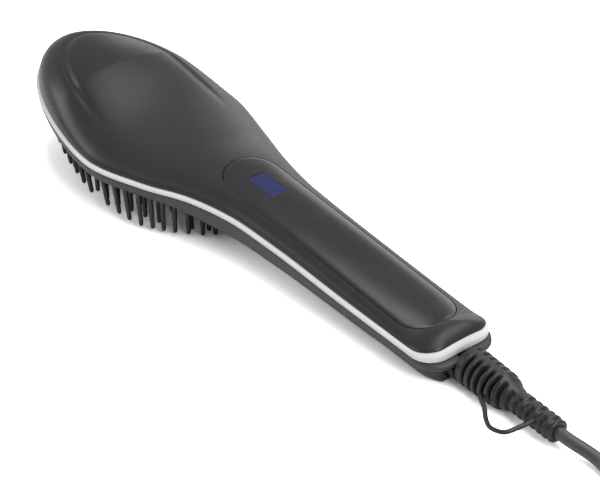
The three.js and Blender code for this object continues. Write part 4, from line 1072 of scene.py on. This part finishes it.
def coil_point(u):
    """A point of the coil after turning by u: in, up a layer, out, up a layer, and so on."""
    away = abs((u + CLIMB / 2) % (2 * PERIOD) - PERIOD)
    r = COIL_RADIUS + COIL_PITCH / (2 * math.pi) * (away - PERIOD + CLIMB / 2)
    rise = sum(COIL_PITCH * float(smooth((u - k * PERIOD + CLIMB) / CLIMB)) for k in range(1, COIL_LAYERS))
    a = COIL_ENTRY + u
    return np.array([COIL_X + r * math.cos(a), COIL_Y + r * math.sin(a), LIE + rise])


coil_total = COIL_LAYERS * FULL + (COIL_LAYERS - 1) * CLIMB
coil_line = np.array([coil_point(u) for u in np.linspace(0, coil_total, 240)])


def coil_end(place, sign):
    """Gives points on the straight run past an end of the coil, a cord's width and d away."""
    a = COIL_ENTRY + (0 if sign < 0 else coil_total)
    heading = np.array([-math.sin(a), math.cos(a), 0])
    return lambda d: coil_line[place] + sign * (CORD_DIAMETER + d) * heading


before, after = coil_end(0, -1), coil_end(-1, 1)
touch = along_boot(75) + [0, 2.6, 0]
touch[2] = LIE + 0.9
lead_line = spline([along_boot(57.2), along_boot(62.5), touch, before(22), before(10), before(0)], 26)
TO_PLUG = [(291, 36, 15), (290, 51, 10.5), (278, 62, 6.9), (270, 62, 6.9), (262, 62, 6.9)]
tail_line = spline([after(0), after(9), *TO_PLUG], 30)
cord_line = np.vstack([lead_line, coil_line, tail_line]) / 1000
curve = bpy.data.curves.new("mains_cord", "CURVE")
curve.dimensions = "3D"
curve.bevel_depth = CORD_DIAMETER / 2000
curve.bevel_resolution = 5
curve.use_fill_caps = True
run = curve.splines.new("NURBS")
run.points.add(len(cord_line) - 1)
run.points.foreach_set("co", np.c_[cord_line, np.ones(len(cord_line))].ravel())
run.order_u = 4
run.resolution_u = 3
run.use_endpoint_u = True
curve.materials.append(FINISHES["cord"])
cord = in_scene("mains_cord", curve)
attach(cord, "housing")
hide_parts("cord_lead", "cord_coil", "cord_tail")

# %% [markdown]
# ## Plug
# A flat two-pin plug, moulded onto the cord in one piece. Its broad end is pinched in the middle
# of its sides for grip, and it narrows to the cord. The pins are turned and half sleeved.

# %% Plug
PLUG_REAR = np.array([262, 62, 6.9])
PLUG_FACE, PLUG_HALF, PLUG_THICK, PLUG_SIDES = -34, 17.65, 6.8, 64
PLUG_SECTIONS = [(-34, 0, 0), (-34, 0.9, 0.86), (-33.7, 0.96, 0.95), (-32.8, 1, 1), (-29, 1, 1)]
PLUG_SECTIONS += [(-24.8, 0.98, 1), (-20, 0.85, 0.98), (-15, 0.62, 0.94), (-10, 0.42, 0.86), (-6, 0.28, 0.72)]
PLUG_SECTIONS += [(-3, 0.225, 0.58), (-0.6, 0.2, 0.5), (0, 0.18, 0.46), (0, 0, 0)]
PIN_PROFILE = [(0, -19), (1.0, -19), (1.7, -18.5), (1.95, -17.6), (2, -16.5)]
PIN_PROFILE += [(2, -10), (1.9, -9.8), (1.9, 4), (0, 4)]
PIN_OFFSET = 9.3
turn = np.linspace(0, 2 * math.pi, PLUG_SIDES, endpoint=False)
squared_y, squared_z = (np.sign(v) * np.abs(v) ** 0.5 for v in (np.cos(turn), np.sin(turn)))


def in_metres(points):
    return points / 1000


plug_rings = [
    np.c_[np.full(PLUG_SIDES, x), PLUG_HALF * w * squared_y, PLUG_THICK * h * squared_z] + PLUG_REAR
    for x, w, h in PLUG_SECTIONS
]
plug_mesh = skin("plug_moulding", plug_rings, placed=in_metres, sharp=50)
plug_pieces = [piece("plug_moulding", plug_mesh, "housing", "cord", "plug_body")]
for i, y in ((1, -PIN_OFFSET), (2, PIN_OFFSET)):
    prong = lathe("pin", PIN_PROFILE, lambda p: p[:, [2, 0, 1]] + [PLUG_FACE, y, 0] + PLUG_REAR, in_metres)
    plug_pieces.append(piece(f"plug_prong_{i}", prong, "housing", "steel", f"plug_pin_{i}"))
